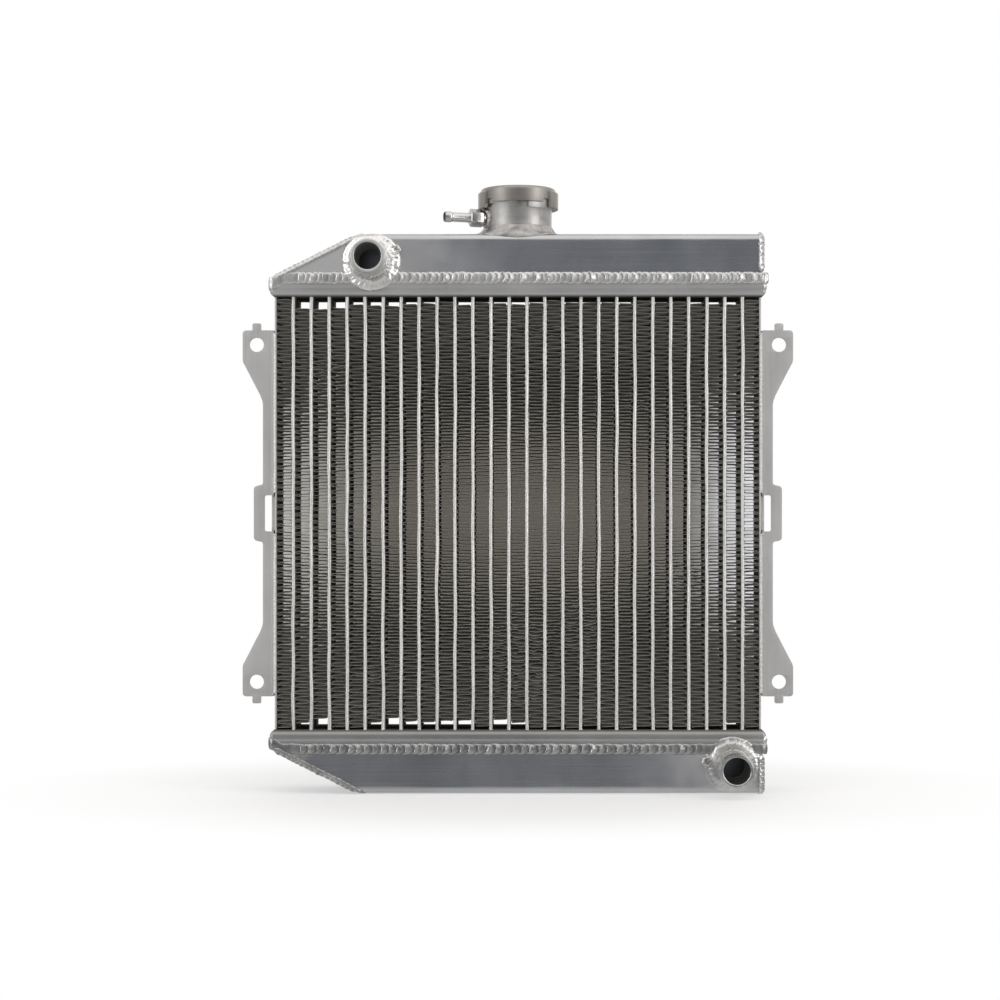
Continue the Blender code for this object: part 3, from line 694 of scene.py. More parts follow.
def shade_screen_material():
    """A tinted see-through screen between the legs, in place of the fins' louvres: painted shade
    that dims what is seen through the core, less at the sides.
    """
    n = Shader(bpy.data.materials.new("louvre_shade_screen"))
    x = n.split()["X"]
    mottle = n.noise(scale=60.0, rough=0.6)
    screen_streaks = n.noise(scale=1.0, detail=2.0, rough=0.5, vector=n.scaled((30, 30, 1200)))
    place = n.plus(n.span(x, source=(-0.19, 0.19)), n.span(mottle, MID, target=(-0.012, 0.012)))
    tone = n.ramp(place, SHADE_SCREEN_TONES)
    amount = n.span(screen_streaks, source=(0.35, 0.65), target=(0.0, 0.22))
    tone = n.mix(amount, tone, (0.30, 0.29, 0.27))
    n.tree.nodes.remove(n.find("BSDF_PRINCIPLED"))
    return n.surface(n.add("BsdfTransparent", {"Color": tone}).outputs["BSDF"])


def rubber_material():
    n = Shader(bpy.data.materials.new("gasket_rubber"))
    grain = n.noise(scale=1400.0, rough=0.6)
    cloud = n.noise(scale=120.0, rough=0.5)
    return n.principled({
        "Base Color": n.ramp(cloud, [(0.3, grey(0.012)), (0.7, (0.03, 0.029, 0.028))]),
        "Roughness": n.span(grain, MID, target=(0.62, 0.85)),
        "Normal": n.bump(grain, distance=0.00003, strength=0.6)})


SHADE_SCREEN = shade_screen_material()
RUBBER = rubber_material()


# ================================================================== core
# Clear height left under and over each fin strip, left to right.
LOW_GAP = [
    2.5, 6.0, 9.4, 3.0, 2.6, 6.2, 9.8, 7.2, 6.6, 7.4, 7.6, 3.4, 8.6, 6.0,
    2.8, 3.4, 2.4, 3.8, 3.0, 2.2, 3.6, 2.8, 3.4, 3.0, 3.8, 5.9, 3.0]
HIGH_GAP = [
    2.6, 9.6, 9.9, 8.8, 6.5, 7.4, 7.4, 6.1, 5.5, 4.5, 6.5, 4.6, 5.6, 6.2,
    5.0, 3.6, 4.6, 4.8, 4.8, 5.4, 3.4, 4.8, 4.7, 5.5, 5.8, 6.4, 3.0]
# Shallow dents in the fins' front edges: middle x, middle z, half width, half height, strength.
DENTS = [
    (0.0, 105.0, 34.0, 42.0, 1.5), (46.0, 128.0, 22.0, 34.0, 1.2), (-118.0, 92.0, 9.0, 9.0, 1.6),
    (-150.0, 322.0, 20.0, 26.0, 1.0), (96.0, 300.0, 16.0, 20.0, 0.9),
    (130.0, 170.0, 18.0, 16.0, 0.9), (-60.0, 260.0, 12.0, 12.0, 0.7),
    (20.0, 360.0, 26.0, 9.0, 0.9),
]
DENT_WAVE = Wave(11, 7.0)
SHEET = 0.13                                 # fin thickness
FIN_HALF = CELL / 2 - SHEET / 2 - 0.02
LEG_PITCH = 2.49
TURN = 0.85                                  # width taken up by a fold at the tube wall
# Stations through a fin: y, wave of the sheet, and share of the front edge's bending.
FIN_STATIONS = np.array([
    (-24.0, 0.0, 1.0), (-22.8, 0.0, 0.75), (-16.0, 0.12, 0.25), (-7.0, -0.10, 0.0),
    (7.0, 0.12, 0.0), (16.0, -0.10, 0.0), (22.8, 0.0, 0.0), (24.0, 0.0, 0.0)])


def fin_path(index, z_low, z_high, rng):
    """Front view of a strip as (x, z) points, and the leg that each belongs to."""
    count = int(round((z_high - z_low) / LEG_PITCH))
    z = z_low + (z_high - z_low) / count * (np.arange(count) + 0.5)
    drift = line_wave(300 + index, 60.0)
    ends = np.minimum(1.0, np.minimum(z - z_low, z_high - z) / 12.0)
    z = z + 0.20 * drift(z) * ends + 0.13 * rng.normal(size=count).clip(-2, 2) * ends
    tilt = 0.15 + 0.08 * rng.normal(size=count).clip(-2, 2)
    sag = 0.09 * rng.normal(size=count)
    reach = FIN_HALF - TURN
    path, leg = [], []
    for k in range(count):
        s = 1 if k % 2 == 0 else -1
        path += [(-s * reach, z[k] - tilt[k]), (-s * reach * 0.35, z[k] - tilt[k] * 0.35 + sag[k]),
                 (s * reach * 0.35, z[k] + tilt[k] * 0.35 + sag[k]), (s * reach, z[k] + tilt[k])]
        leg += [k] * 4
        if k + 1 < count:
            top = z[k] + tilt[k]
            gap = (z[k + 1] - tilt[k + 1]) - top
            path += [(s * FIN_HALF, top + gap * 0.28), (s * FIN_HALF, top + gap * 0.72)]
            leg += [k, k + 1]
    return np.array(path), np.array(leg)


def sheet_faces(n, m):
    """Faces of a thin sheet: two (n, m) grids of points and the rim between them."""
    def at(side, i, j):
        return side * n * m + i * m + j

    faces = []
    for i in range(n - 1):
        for j in range(m - 1):
            faces.append((at(0, i, j), at(0, i, j + 1), at(0, i + 1, j + 1), at(0, i + 1, j)))
            faces.append((at(1, i, j), at(1, i + 1, j), at(1, i + 1, j + 1), at(1, i, j + 1)))
        faces.append((at(0, i, 0), at(0, i + 1, 0), at(1, i + 1, 0), at(1, i, 0)))
        j = m - 1
        faces.append((at(0, i, j), at(1, i, j), at(1, i + 1, j), at(0, i + 1, j)))
    for j in range(m - 1):
        i = n - 1
        faces.append((at(0, 0, j), at(1, 0, j), at(1, 0, j + 1), at(0, 0, j + 1)))
        faces.append((at(0, i, j), at(0, i, j + 1), at(1, i, j + 1), at(1, i, j)))
    return faces


def fin_strip(index):
    """One corrugated strip, uneven from leg to leg, with bent front edges. Returns the rings of
    the see-through screen of painted shade, in place of louvres, across the strip at mid depth."""
    rng = np.random.default_rng(100 + index)
    x_mid = FIN_MID[index]
    z_low = HEADER_FACE + LOW_GAP[index] - 1.9
    z_high = HEIGHT - HEADER_FACE - HIGH_GAP[index] + 1.7
    path, leg = fin_path(index, z_low, z_high, rng)
    tangent = np.zeros_like(path)
    tangent[1:-1] = path[2:] - path[:-2]
    tangent[0] = path[1] - path[0]
    tangent[-1] = path[-1] - path[-2]
    tangent /= np.linalg.norm(tangent, axis=1)[:, None]
    level = 0.12 * rng.normal(size=leg[-1] + 1)
    across = 1.0 - np.abs(path[:, 0] / FIN_HALF) ** 3
    xs, zs = path[:, 0] + x_mid, path[:, 1]
    crumple = 0.6 * DENT_WAVE(np.stack([xs, zs, 0 * xs], 1)) - 0.25
    bend = level[leg] * (0.35 + 0.65 * across)
    for x, z, half_x, half_z, strength in DENTS:
        far = ((xs - x) / half_x) ** 2 + ((zs - z) / half_z) ** 2
        amount = np.clip(1.0 - far, 0.0, 1.0) * strength
        bend = bend + amount * crumple * (0.25 + across)
    bend = np.clip(bend, -1.0, 1.0)
    depth, wave, grip = FIN_STATIONS.T
    verts = np.zeros((2, len(path), len(depth), 3))
    for side, s in ((0, 1), (1, -1)):
        verts[side, :, :, 0] = (xs - s * tangent[:, 1] * SHEET / 2)[:, None]
        verts[side, :, :, 1] = depth[None]
        z = zs + s * tangent[:, 0] * SHEET / 2
        verts[side, :, :, 2] = z[:, None] + wave[None] + bend[:, None] * grip[None]
    faces = sheet_faces(len(path), len(depth))
    number = "%02d" % (index + 1)
    obj = make("fins_" + number, verts.reshape(-1, 3), faces, FIN, angle=30)
    claim(obj, "fin_aluminium", "fin_strip_" + number)
    left, right = x_mid - FIN_HALF, x_mid + FIN_HALF
    return [[(left, -0.15, z), (right, -0.15, z), (right, 0.15, z), (left, 0.15, z)]
            for z in np.linspace(z_low + 0.2, z_high - 0.2, 9)]


def fins_and_shade_screens():
    verts, faces = [], []
    for i in range(FIN_COUNT):
        strip_verts, strip_faces = loft(fin_strip(i))
        start = len(verts)
        verts.extend(strip_verts)
        faces.extend(tuple(k + start for k in face) for face in strip_faces)
    # painted shade: a tinted see-through screen across each cell, in place of the fins' louvres
    shade_screens = outward(make("louvre_shade_screen", verts, faces, SHADE_SCREEN, smooth=False))
    claim(shade_screens, "fin_aluminium")


def tube(index):
    """A flat tube with round noses, slightly wavy along its length, flared at the headers."""
    x = TUBE_MID[index]
    top = HEIGHT - HEADER_FACE
    zs = np.concatenate([
        [HEADER_FACE - 2.2, HEADER_FACE - 0.2, HEADER_FACE + 0.5],
        np.linspace(HEADER_FACE + 1.4, top - 1.4, 42),
        [top - 0.5, top + 0.2, top + 2.2]])
    flare = np.zeros(len(zs))
    flare[[0, 1, -1, -2]] = 0.16
    flare[[2, -3]] = 0.06
    sway = line_wave(500 + index, 90.0)
    dent = line_wave(600 + index, 26.0)
    swell = line_wave(650 + index, 40.0)
    skew = line_wave(700 + index, 55.0)
    nose = TUBE_THICK / 2
    flat_y = TUBE_Y - nose
    arc = [(math.cos(a), math.sin(a)) for a in np.radians(np.linspace(-90, 90, 9))]
    rings = []
    for z, extra in zip(zs, flare):
        mid = x + 0.14 * sway(z)
        r = nose + extra + 0.05 * swell(z)
        shift = 0.05 * dent(z)
        lean = 0.42 * float(skew(z))
        rings.append([(mid + r * s, flat_y + r * c, z) for c, s in arc]
                     + [(mid - r * s, -flat_y - r * c + shift + lean * s * c, z) for c, s in arc])
    lofted("tube_%02d" % (index + 1), rings, TUBE, "core_aluminium", "core_tubes_and_headers",
           angle=60)


def dense_loop(points, counts):
    """Splits each side of a loop into the given number of steps, so that a wave can bend it."""
    pairs = zip(points, np.roll(points, -1, axis=0), counts)
    return np.array([a + (b - a) * t / k for a, b, k in pairs for t in range(k)])


def slope_line(x):
    """Height over the bottom tank's outer face of its sloping end, carried past the seam."""
    return SLOPE * (-np.asarray(x, float) - CHAMFER_X)


def header(name, low):
    """Pressed tray, its edges rounded over on the core side and trimmed along the slope."""
    edge_r = 4.6
    # height and inset of each ring, from the seam towards the core
    levels = [(SEAM + 0.4, 0.0), (SEAM + 4.0, 0.0), (SEAM + 6.6, -0.05), (SEAM + 7.3, -0.55),
              (SEAM + 8.0, -0.65)]
    for k in range(9):
        a = math.radians(90 * k / 8)
        levels.append((HEADER_FACE - edge_r + edge_r * math.sin(a),
                       -0.65 - edge_r * (1 - math.cos(a))))
    loops = [(SEAM + 0.4, rounded_rect(CHAMFER_X + SEAM / SLOPE, HEAD_Y - 2.5, 1.5, 5)[0])]
    for z, inset in levels:
        corner = max(0.8, 3.4 + inset)
        loops.append((z, rounded_rect(HEAD_X + inset, HEAD_Y + inset, corner, 5)[0]))
    skew = Wave(21 + low, 90.0)
    counts = [{5: 44, 17: 44, 11: 7, 23: 7}.get(k, 1) for k in range(24)]
    rings = []
    for k, (z, loop) in enumerate(loops):
        points = dense_loop(loop, counts)
        points[:, 2] = np.maximum(z, slope_line(points[:, 0]) + 0.06 * k)
        points[:, 1] += 0.10 * skew(points) * np.sign(points[:, 1])
        rings.append(points)
    lofted(name, mirrored(rings, not low), HEADER, "core_aluminium", "core_tubes_and_headers")


def side_plate(name, node, box, sign):
    """Flat side sheet with two shallow raised ribs and rolled long edges."""
    low, high = box
    inner = low[0] if sign > 0 else high[0]
    wave = Wave(31 + sign, 80.0)
    rings = []
    for z in np.linspace(low[2] + 0.2, high[2] - 0.2, 61):
        ribbed = ease(min(z - low[2] - 14.0, high[2] - 14.0 - z), 0, 5.0)
        outside, inside = [], []
        for y in np.linspace(low[1], high[1], 41):
            rib = sum(max(0.0, 1.0 - ((y - mid) / 3.4) ** 2) ** 0.8 for mid in (4.0, 16.0))
            roll = 0.5 * max(0.0, 1.0 - (min(y - low[1], high[1] - y) / 1.2)) ** 2
            out = 1.6 + 0.9 * rib * ribbed - roll + 0.05 * wave.at(0.0, y, z)
            outside.append((inner + sign * out, y, z))
            inside.append((inner + sign * roll * 0.4, y, z))
        rings.append(outside + inside[::-1])
    lofted(name, rings, PLATE, "core_aluminium", node)


fins_and_shade_screens()
for i in range(FIN_COUNT - 1):
    tube(i)
header("top_header", False)
header("bottom_header", True)
side_plate("left_side_sheet", "side_plate_left", PLATE_LEFT, -1)
side_plate("right_side_sheet", "side_plate_right", PLATE_RIGHT, 1)


# ================================================================== tanks
def half_depth(below):
    """Half the tank's depth at a distance inside its outer face."""
    if below >= FOLD:
        return TANK_Y
    return TANK_Y - FOLD + math.sqrt(max(0.0, FOLD * FOLD - (FOLD - below) ** 2))


def slope_x(below):
    """x of the sloping end at a distance inside the tank's outer face."""
    return -(CHAMFER_X + below / SLOPE)


def fold_arc(radius, steps, side):
    """(y, z) points round a fold of the top tank, upwards."""
    return [(side * (TANK_Y - FOLD + radius * math.cos(a)), HEIGHT - FOLD + radius * math.sin(a))
            for a in np.linspace(0, PI / 2, steps)]


def fold_heights(steps):
    return [z for _, z in fold_arc(FOLD, steps, 1)]


def end_word(turned_over):
    return "bottom" if turned_over else "top"


def tank_shell(turned_over, pipe, neck_hole):
    """Folded sheet: front, outer face and back, cut on a slope at its left end."""
    wall = 2.0
    upright = [TOP_SEAM + t * (HEIGHT - FOLD - TOP_SEAM) for t in np.linspace(0, 1, 8)[:-1]]
    roof = np.linspace(-(TANK_Y - FOLD), TANK_Y - FOLD, 12)[1:-1]
    outer = [(-TANK_Y, z) for z in upright] + fold_arc(FOLD, 10, -1)
    outer += [(y, HEIGHT) for y in roof]
    outer += fold_arc(FOLD, 10, 1)[::-1] + [(TANK_Y, z) for z in upright[::-1]]
    inner = [(-(TANK_Y - wall), TOP_SEAM), (-(TANK_Y - wall), HEIGHT - FOLD)]
    inner += fold_arc(FOLD - wall, 6, -1)[1:] + fold_arc(FOLD - wall, 6, 1)[::-1]
    inner += [(TANK_Y - wall, TOP_SEAM)]
    y, z = np.array(outer + inner[::-1]).T
    left = slope_x(HEIGHT - z) + 1.1 * math.hypot(1, SLOPE) / SLOPE
    count = 110
    t = np.arange(count)[:, None] / (count - 1)
    x = left + (TANK_RIGHT - 0.4 - left) * t
    points = np.stack([x, np.broadcast_to(y, x.shape), np.broadcast_to(z, x.shape)], axis=2)
    flat = points.reshape(-1, 3)
    warp = 0.16 * Wave(41 + turned_over, 120.0, 8)(flat)
    warp = np.abs(warp + 0.05 * Wave(44 + turned_over, 45.0, 8)(flat)).reshape(count, -1)
    warp[:, len(outer):] = 0
    fade = np.clip((z - TOP_SEAM - 2.0) / 8.0, 0, 1)
    points[:, :, 1] -= np.where(np.abs(y) > TANK_Y - 0.01, np.sign(y) * warp * 0.9 * fade, 0)
    points[:, :, 2] -= np.where(z > HEIGHT - 0.01, warp * 0.8, 0)
    name = end_word(turned_over) + "_tank"
    obj = lofted(name, mirrored(points, turned_over), TANK)
    boolean(obj, tool_prism(circle(10.4, 40, (pipe[0], pipe[2])), -40, -20, along_y))
    if neck_hole:
        boolean(obj, tool_prism(circle(17.0, 40), HEIGHT - 10, HEIGHT + 10, along_z))
    smooth_mesh(obj.data, 40)
    claim(obj, "tank_aluminium", name + "_shell")


SLOPE_NORMAL = np.array([-SLOPE, 0, 1.0]) / math.hypot(1, SLOPE)
RIGHT_NORMAL = np.array([1.0, 0, 0])


def tank_end(turned_over, sloping):
    """Plate that closes a tank: sloping on the left, upright and slightly dished on the right."""
    normal = SLOPE_NORMAL if sloping else RIGHT_NORMAL
    warp = Wave(51 + turned_over, 60.0)
    heights = [TOP_SEAM + 0.1, *np.linspace(TOP_SEAM + 3, HEIGHT - 7, 14), *fold_heights(9)]
    rings = []
    for z in heights:
        half = half_depth(HEIGHT - z) - 0.15
        x = slope_x(HEIGHT - z) if sloping else TANK_RIGHT
        ys = np.linspace(-1, 1, 17) * half
        outside = []
        for y in ys:
            edge = half - abs(y)
            if sloping:
                dip = 0.9 * max(0.0, 1.0 - edge / 1.6) ** 2 + 0.10 * abs(warp.at(x, y, z))
            else:
                edge = min(edge, HEIGHT - z)
                dip = 0.25 * min(1.0, edge / 9.0) + 0.8 * max(0.0, 1.0 - edge / 1.5) ** 2
            outside.append(np.array([x, y, z]) - normal * dip)
        rings.append(outside + [np.array([x, y, z]) - normal * 1.9 for y in ys[::-1]])
    tank = end_word(turned_over) + "_tank_"
    lofted(tank + ("slope" if sloping else "right_end"), mirrored(rings, turned_over), TANK,
           "tank_aluminium", tank + ("end_left" if sloping else "end_right"), angle=50)


tank_shell(False, INLET, neck_hole=True)
tank_shell(True, OUTLET, neck_hole=False)
for sloping in (True, False):
    for turned_over in (False, True):
        tank_end(turned_over, sloping)


# ================================================================== weld beads
def puddle_row(rng, total, gap, spread):
    """Start and size of each puddle in a row laid along a length."""
    count = int(total / gap) + 8
    starts = np.cumsum(gap * (1 + 0.14 * rng.normal(size=count)).clip(0.6, 1.5)) - 4 * gap
    return starts, (1 + spread * rng.normal(size=count)).clip(0.35, 1.7)


def in_puddle(row, place):
    """How far each place lies through its puddle, from 0 to 1, and that puddle's size."""
    starts, sizes = row
    k = np.clip(np.searchsorted(starts, place) - 1, 0, len(starts) - 2)
    through = (place - starts[k]) / np.maximum(starts[k + 1] - starts[k], 0.3)
    return np.clip(through, 0, 1), sizes[k]


def puddle_toe(row, place):
    """Rounded outline of a puddle's toe, and its size."""
    through, size = in_puddle(row, np.array([place]))
    return math.sqrt(max(0.0, 1 - (2 * float(through[0]) - 1) ** 2)) - 0.7, float(size[0])


def bead(name, path, normals, width, height, material, seed, closed=False, sink=0.5, pitch=2.7,
         ripple=0.22, coarse=7.4, big=0.30, scallop=0.07, step=0.36, lean=0.8, taper=3.0,
         dressed=None, node=None):
    """A run of overlapping crescent puddles along a path, over a slower row of larger ones, with
    scalloped toes.

    normals: away from the metal below     sink: depth below the path
    pitch, ripple: length and relief of the puddles; coarse, big: the same for the larger ones
    scallop: how far the toes swell        step: spacing of the rings
    lean: forward curve of the crescents   taper: length of the run's ends
    dressed(point): how far the bead is ground flat, from 0 to 1"""
    sides, lump, probe = 17, 0.035, 0.6
    path, normals = np.asarray(path, float), np.asarray(normals, float)
    if closed:
        path = np.vstack([path, path[:1]])
        normals = np.vstack([normals, normals[:1]])
    reach = lengths_along(path)
    total = reach[-1]
    at = np.linspace(0, total, max(8, int(total / step)) + 1)
    if closed:
        at = at[:-1]
        after, before = (at + probe) % total, (at - probe) % total
    else:
        after, before = np.minimum(at + probe, total), np.maximum(at - probe, 0)
    centre = resample(path, reach, at)
    tangent = resample(path, reach, after) - resample(path, reach, before)
    tangent /= np.maximum(np.linalg.norm(tangent, axis=1), 1e-9)[:, None]
    up = resample(normals, reach, at)
    up -= (up * tangent).sum(1)[:, None] * tangent
    up /= np.maximum(np.linalg.norm(up, axis=1), 1e-9)[:, None]
    side = np.cross(tangent, up)
    rng = np.random.default_rng(seed)
    fine_row = puddle_row(rng, total, pitch, 0.3)
    big_row = puddle_row(rng, total, coarse, 0.25)
    slow, quick = line_wave(seed + 6, 34.0), line_wave(seed + 7, 12.0)
    toe_plus, toe_minus = line_wave(seed + 8, 16.0), line_wave(seed + 9, 18.0)
    phi = np.arange(sides) * 2 * PI / sides
    c, s = np.cos(phi), np.sin(phi)
    rings = np.zeros((len(at), sides, 3))
    ridge = np.zeros((len(at), sides))
    for i, here in enumerate(at):
        # the middle of a puddle lies ahead of its toes
        u, size = in_puddle(fine_row, here - lean * pitch * (1 - c ** 2))
        u_big, size_big = in_puddle(big_row, here - 0.45 * coarse * (1 - c ** 2))
        crest = (1 - u) ** 1.3 * size
        crest_big = (1 - u_big) ** 1.2 * size_big
        ridge[i] = 1.0 - u
        arc_big, toe_big = puddle_toe(big_row, here)
        arc, toe = puddle_toe(fine_row, here)
        spread = 1 + 0.5 * scallop * arc_big * toe_big + scallop * arc * toe
        wander = np.where(c > 0, toe_plus(here), toe_minus(here))
        wide = width / 2 * (spread + lump * wander)
        high = height * (0.86 + 0.08 * slow(here) + 0.05 * quick(here))
        high = high * (1 - ripple * 0.5 + ripple * crest) * (1 - big * 0.5 + big * crest_big)
        edge = 1.0
        if not closed:
            edge = min(1.0, math.sqrt(max(0.0, min(here, total - here)) / taper + 0.02))
        if dressed is not None:
            flat = dressed(centre[i])
            high = high * (1 - flat) + 0.4 * height * flat
            ridge[i] = ridge[i] * (1 - flat) + 0.5 * flat
        lift = np.where(s > 0, high * np.abs(s) ** 0.8, -sink * np.abs(s))
        rings[i] = centre[i] + np.outer(c * wide * edge, side[i]) + np.outer(lift * edge, up[i])
    obj = lofted(name, rings, material, "weld_aluminium", node, closed=closed, angle=70)
    mark = obj.data.attributes.new("ridge", "FLOAT", "POINT")
    mark.data.foreach_set("value", (1.0 + ridge).ravel().astype(np.float32))


def upright_bead(name, x, y, zs, normal, **options):
    bead(name, [(x, y, z) for z in zs], [normal] * len(zs), **options)


def seam_bead(low, **options):
    """Bead all round a tank's seam, following the sloping end, ground flat near front corners."""
    z = SEAM if low else TOP_SEAM
    loop = rounded_rect(HEAD_X - 0.3, HEAD_Y - 0.1, 3.0, 8, z, first=3)
    points, normals = [np.vstack([curve, curve[:1]]) for curve in loop]
    reach = lengths_along(points)
    at = np.linspace(0, reach[-1], int(reach[-1] / 1.5), endpoint=False)
    points, normals = resample(points, reach, at), resample(normals, reach, at)
    rise = np.maximum(slope_line(points[:, 0]) + 4.0 - SEAM, 0.0)
    points[:, 2] += rise if low else -rise

    def dressed(point):
        left = clamp01((-164.0 - point[0]) / 10.0)
        right = clamp01((point[0] - 136.0) / 10.0) if low else 0.0
        return 0.85 * max(left, right) if point[1] < 0 else 0.0

    word = end_word(low)
    bead(word + "_seam_bead", points, normals, closed=True, sink=0.9, dressed=dressed,
         node=word + "_seam_weld", **options)


def corner_beads():
    """Upright beads at the headers' four corners."""
    for k, (side_x, side_y) in enumerate(((1, -1), (1, 1), (-1, 1), (-1, -1))):
        right = side_x > 0
        zs = np.linspace(SEAM + (3.5 if right else 9.0), HEADER_FACE - 4.5, 12)
        for top in (True, False):
            # painted highlight, in part: the right-hand corner welds take the paler pipe weld
            # metal
            upright_bead(
                "header_corner_weld_%d_%s" % (k + 1, "top" if top else "low"),
                side_x * (HEAD_X - 1.3), side_y * (HEAD_Y - 1.3), HEIGHT - zs if top else zs,
                (side_x * 0.7, side_y * 0.7, 0.0), width=4.0, height=0.9,
                material=WELD_PIPE if right else WELD, seed=180 + 2 * k + top, sink=0.8,
                scallop=0.15)


def rim_bead(turned_over, sloping, **options):
    """Bead along the rim of a tank's end: up the front, over the outer face, down the back."""
    start = TOP_SEAM + (0.6 if sloping else 4.5)
    heights = [*np.linspace(start, HEIGHT - 6.5, 24), *fold_heights(10)]
    end_normal = SLOPE_NORMAL if sloping else RIGHT_NORMAL
    points, normals = [], []
    for sign, order in ((-1, heights), (1, heights[::-1])):
        for z in order:
            below = HEIGHT - z
            lift = max(0.0, (FOLD - below) / FOLD)
            normal = end_normal + np.array([0, sign * math.sqrt(1.0 - lift * lift), lift])
            x = slope_x(below) if sloping else TANK_RIGHT
            points.append((x, sign * half_depth(below), z))
            normals.append(normal / np.linalg.norm(normal))
    normals = np.array(normals)
    points = mirrored(np.array(points) - normals * 0.9, turned_over)
    if turned_over:
        normals[:, 2] *= -1
    name = end_word(turned_over) + ("_slope_bead" if sloping else "_end_bead")
    bead(name, points, normals, **options)


seam_bead(False, width=8.8, height=1.9, material=WELD, seed=61, pitch=5.0, coarse=13.0,
          ripple=0.58, big=0.34, scallop=0.17, lean=0.78)
seam_bead(True, width=8.2, height=1.8, material=WELD_LOW, seed=71, pitch=6.4, coarse=17.0,
          ripple=0.62, big=0.30, scallop=0.12, lean=0.62)
corner_beads()
rim_bead(False, True, width=5.0, height=1.3, material=WELD, seed=81, sink=1.2, ripple=0.34,
         scallop=0.12, pitch=3.6)
rim_bead(True, True, width=6.4, height=1.7, material=WELD_LOW, seed=83, sink=1.3, ripple=0.5,
         scallop=0.16, pitch=4.2)
rim_bead(False, False, width=6.0, height=1.3, material=WELD, seed=85, sink=1.2, ripple=0.45,
         scallop=0.14, pitch=4.2)
# painted highlight, in part: the bottom tank's right end bead takes the paler pipe weld metal
rim_bead(True, False, width=6.0, height=1.5, material=WELD_PIPE, seed=87, sink=1.2, ripple=0.45,
         scallop=0.16, pitch=4.2)


# ================================================================== hose pipes and their welds
def hose_pipe(name, node, centre, material):
    """Pipe towards the front with a raised ring near its open end."""
    cx, _, cz = centre
    tip, r, ring, bore = PIPE_LOW[1], PIPE_R, PIPE_BEAD, PIPE_BORE
    # (radius, y): the lip, ring and outer wall back from the tip, the foot, then the bore
    profile = over(tip, [
        (bore, 0.5), (bore + 0.35, 0.12), (bore + 0.8, 0.0), (r - 0.9, 0.0), (r - 0.35, 0.15),
        (r - 0.05, 0.6), (r, 1.2), (r, 2.2), (r + 0.18, 2.9), (ring - 0.3, 3.5),
        (ring - 0.05, 4.1), (ring, 4.7), (ring - 0.05, 5.3), (ring - 0.3, 5.9), (r + 0.18, 6.6),
        (r, 7.3), (r, 16.0), (r, 28.0)])
    profile += [(r, -29.2), (11.2, -29.0), (11.2, -26.8), (bore - 0.7, -26.8)]
    profile += over(tip, [(bore - 0.7, 33.0), (bore - 0.35, 32.4), (bore, 31.8), (bore, 16.0)])

    def place(u, v, h):
        return (cx + u, h, cz + v)

    def bump(turns, points):
        """An uneven lip."""
        shift = np.zeros((len(turns), len(points), 2))
        uneven = 0.05 * np.sin(3 * turns + cx) + 0.04 * np.sin(7 * turns + 1.3)
        shift[:, :, 1] = uneven[:, None] * (points[:, 1] < tip + 1.0)[None]
        return shift

    turned(name, profile, material, "tank_aluminium", node, bump=bump, place=place)


def ring_crests(seed, count, jitter, spread, sizes, lag, shortest):
    """Puddles round a circle: returns crest(angle), the relief along a meridian whose points
    trail by the angles in lag."""
    rng = np.random.default_rng(seed)
    starts = np.sort((np.arange(count) + jitter * rng.normal(size=count)) * 2 * PI / count)
    starts = np.concatenate([starts, [starts[0] + 2 * PI]])
    size = (1 + spread * rng.normal(size=count)).clip(*sizes)

    def crest(angle):
        local = (angle - lag) % (2 * PI)
        local = np.where(local < starts[0], local + 2 * PI, local)
        k = np.clip(np.searchsorted(starts, local) - 1, 0, count - 1)
        u = np.clip((local - starts[k]) / np.maximum(starts[k + 1] - starts[k], shortest), 0, 1)
        return (1 - u) ** 1.4 * size[k]

    return crest


def ring_lump(wave, points, turn):
    radius, height = points.T
    return wave(np.stack([radius * math.cos(turn), radius * math.sin(turn), height], 1))


# Sections of the pipe welds: radius, height in front of the tank.
INLET_CONE = [
    (22.7, -0.9), (22.9, 0.1), (22.5, 0.9), (21.6, 1.55), (20.4, 2.0), (19.0, 2.5), (17.6, 3.2),
    (16.3, 4.2), (15.2, 5.5), (14.3, 7.0), (13.6, 8.6), (13.1, 9.7), (12.6, 10.2), (12.0, 9.6),
    (11.9, -0.9)]
OUTLET_CONE = [
    (22.4, -0.9), (22.3, -0.3), (21.8, 0.1), (20.8, 0.35), (19.6, 0.65), (18.3, 1.1),
    (17.1, 1.9), (16.1, 3.0), (15.2, 4.4), (14.4, 6.0), (13.7, 7.8), (13.1, 9.2), (12.6, 9.8),
    (12.0, 9.4), (11.9, -0.9)]
CRATER = [
    (1.3, -0.8), (1.5, 0.5), (1.75, 1.5), (2.3, 2.3), (3.0, 2.5), (3.7, 2.2), (4.3, 1.4),
    (4.6, 0.4), (4.7, -0.8)]


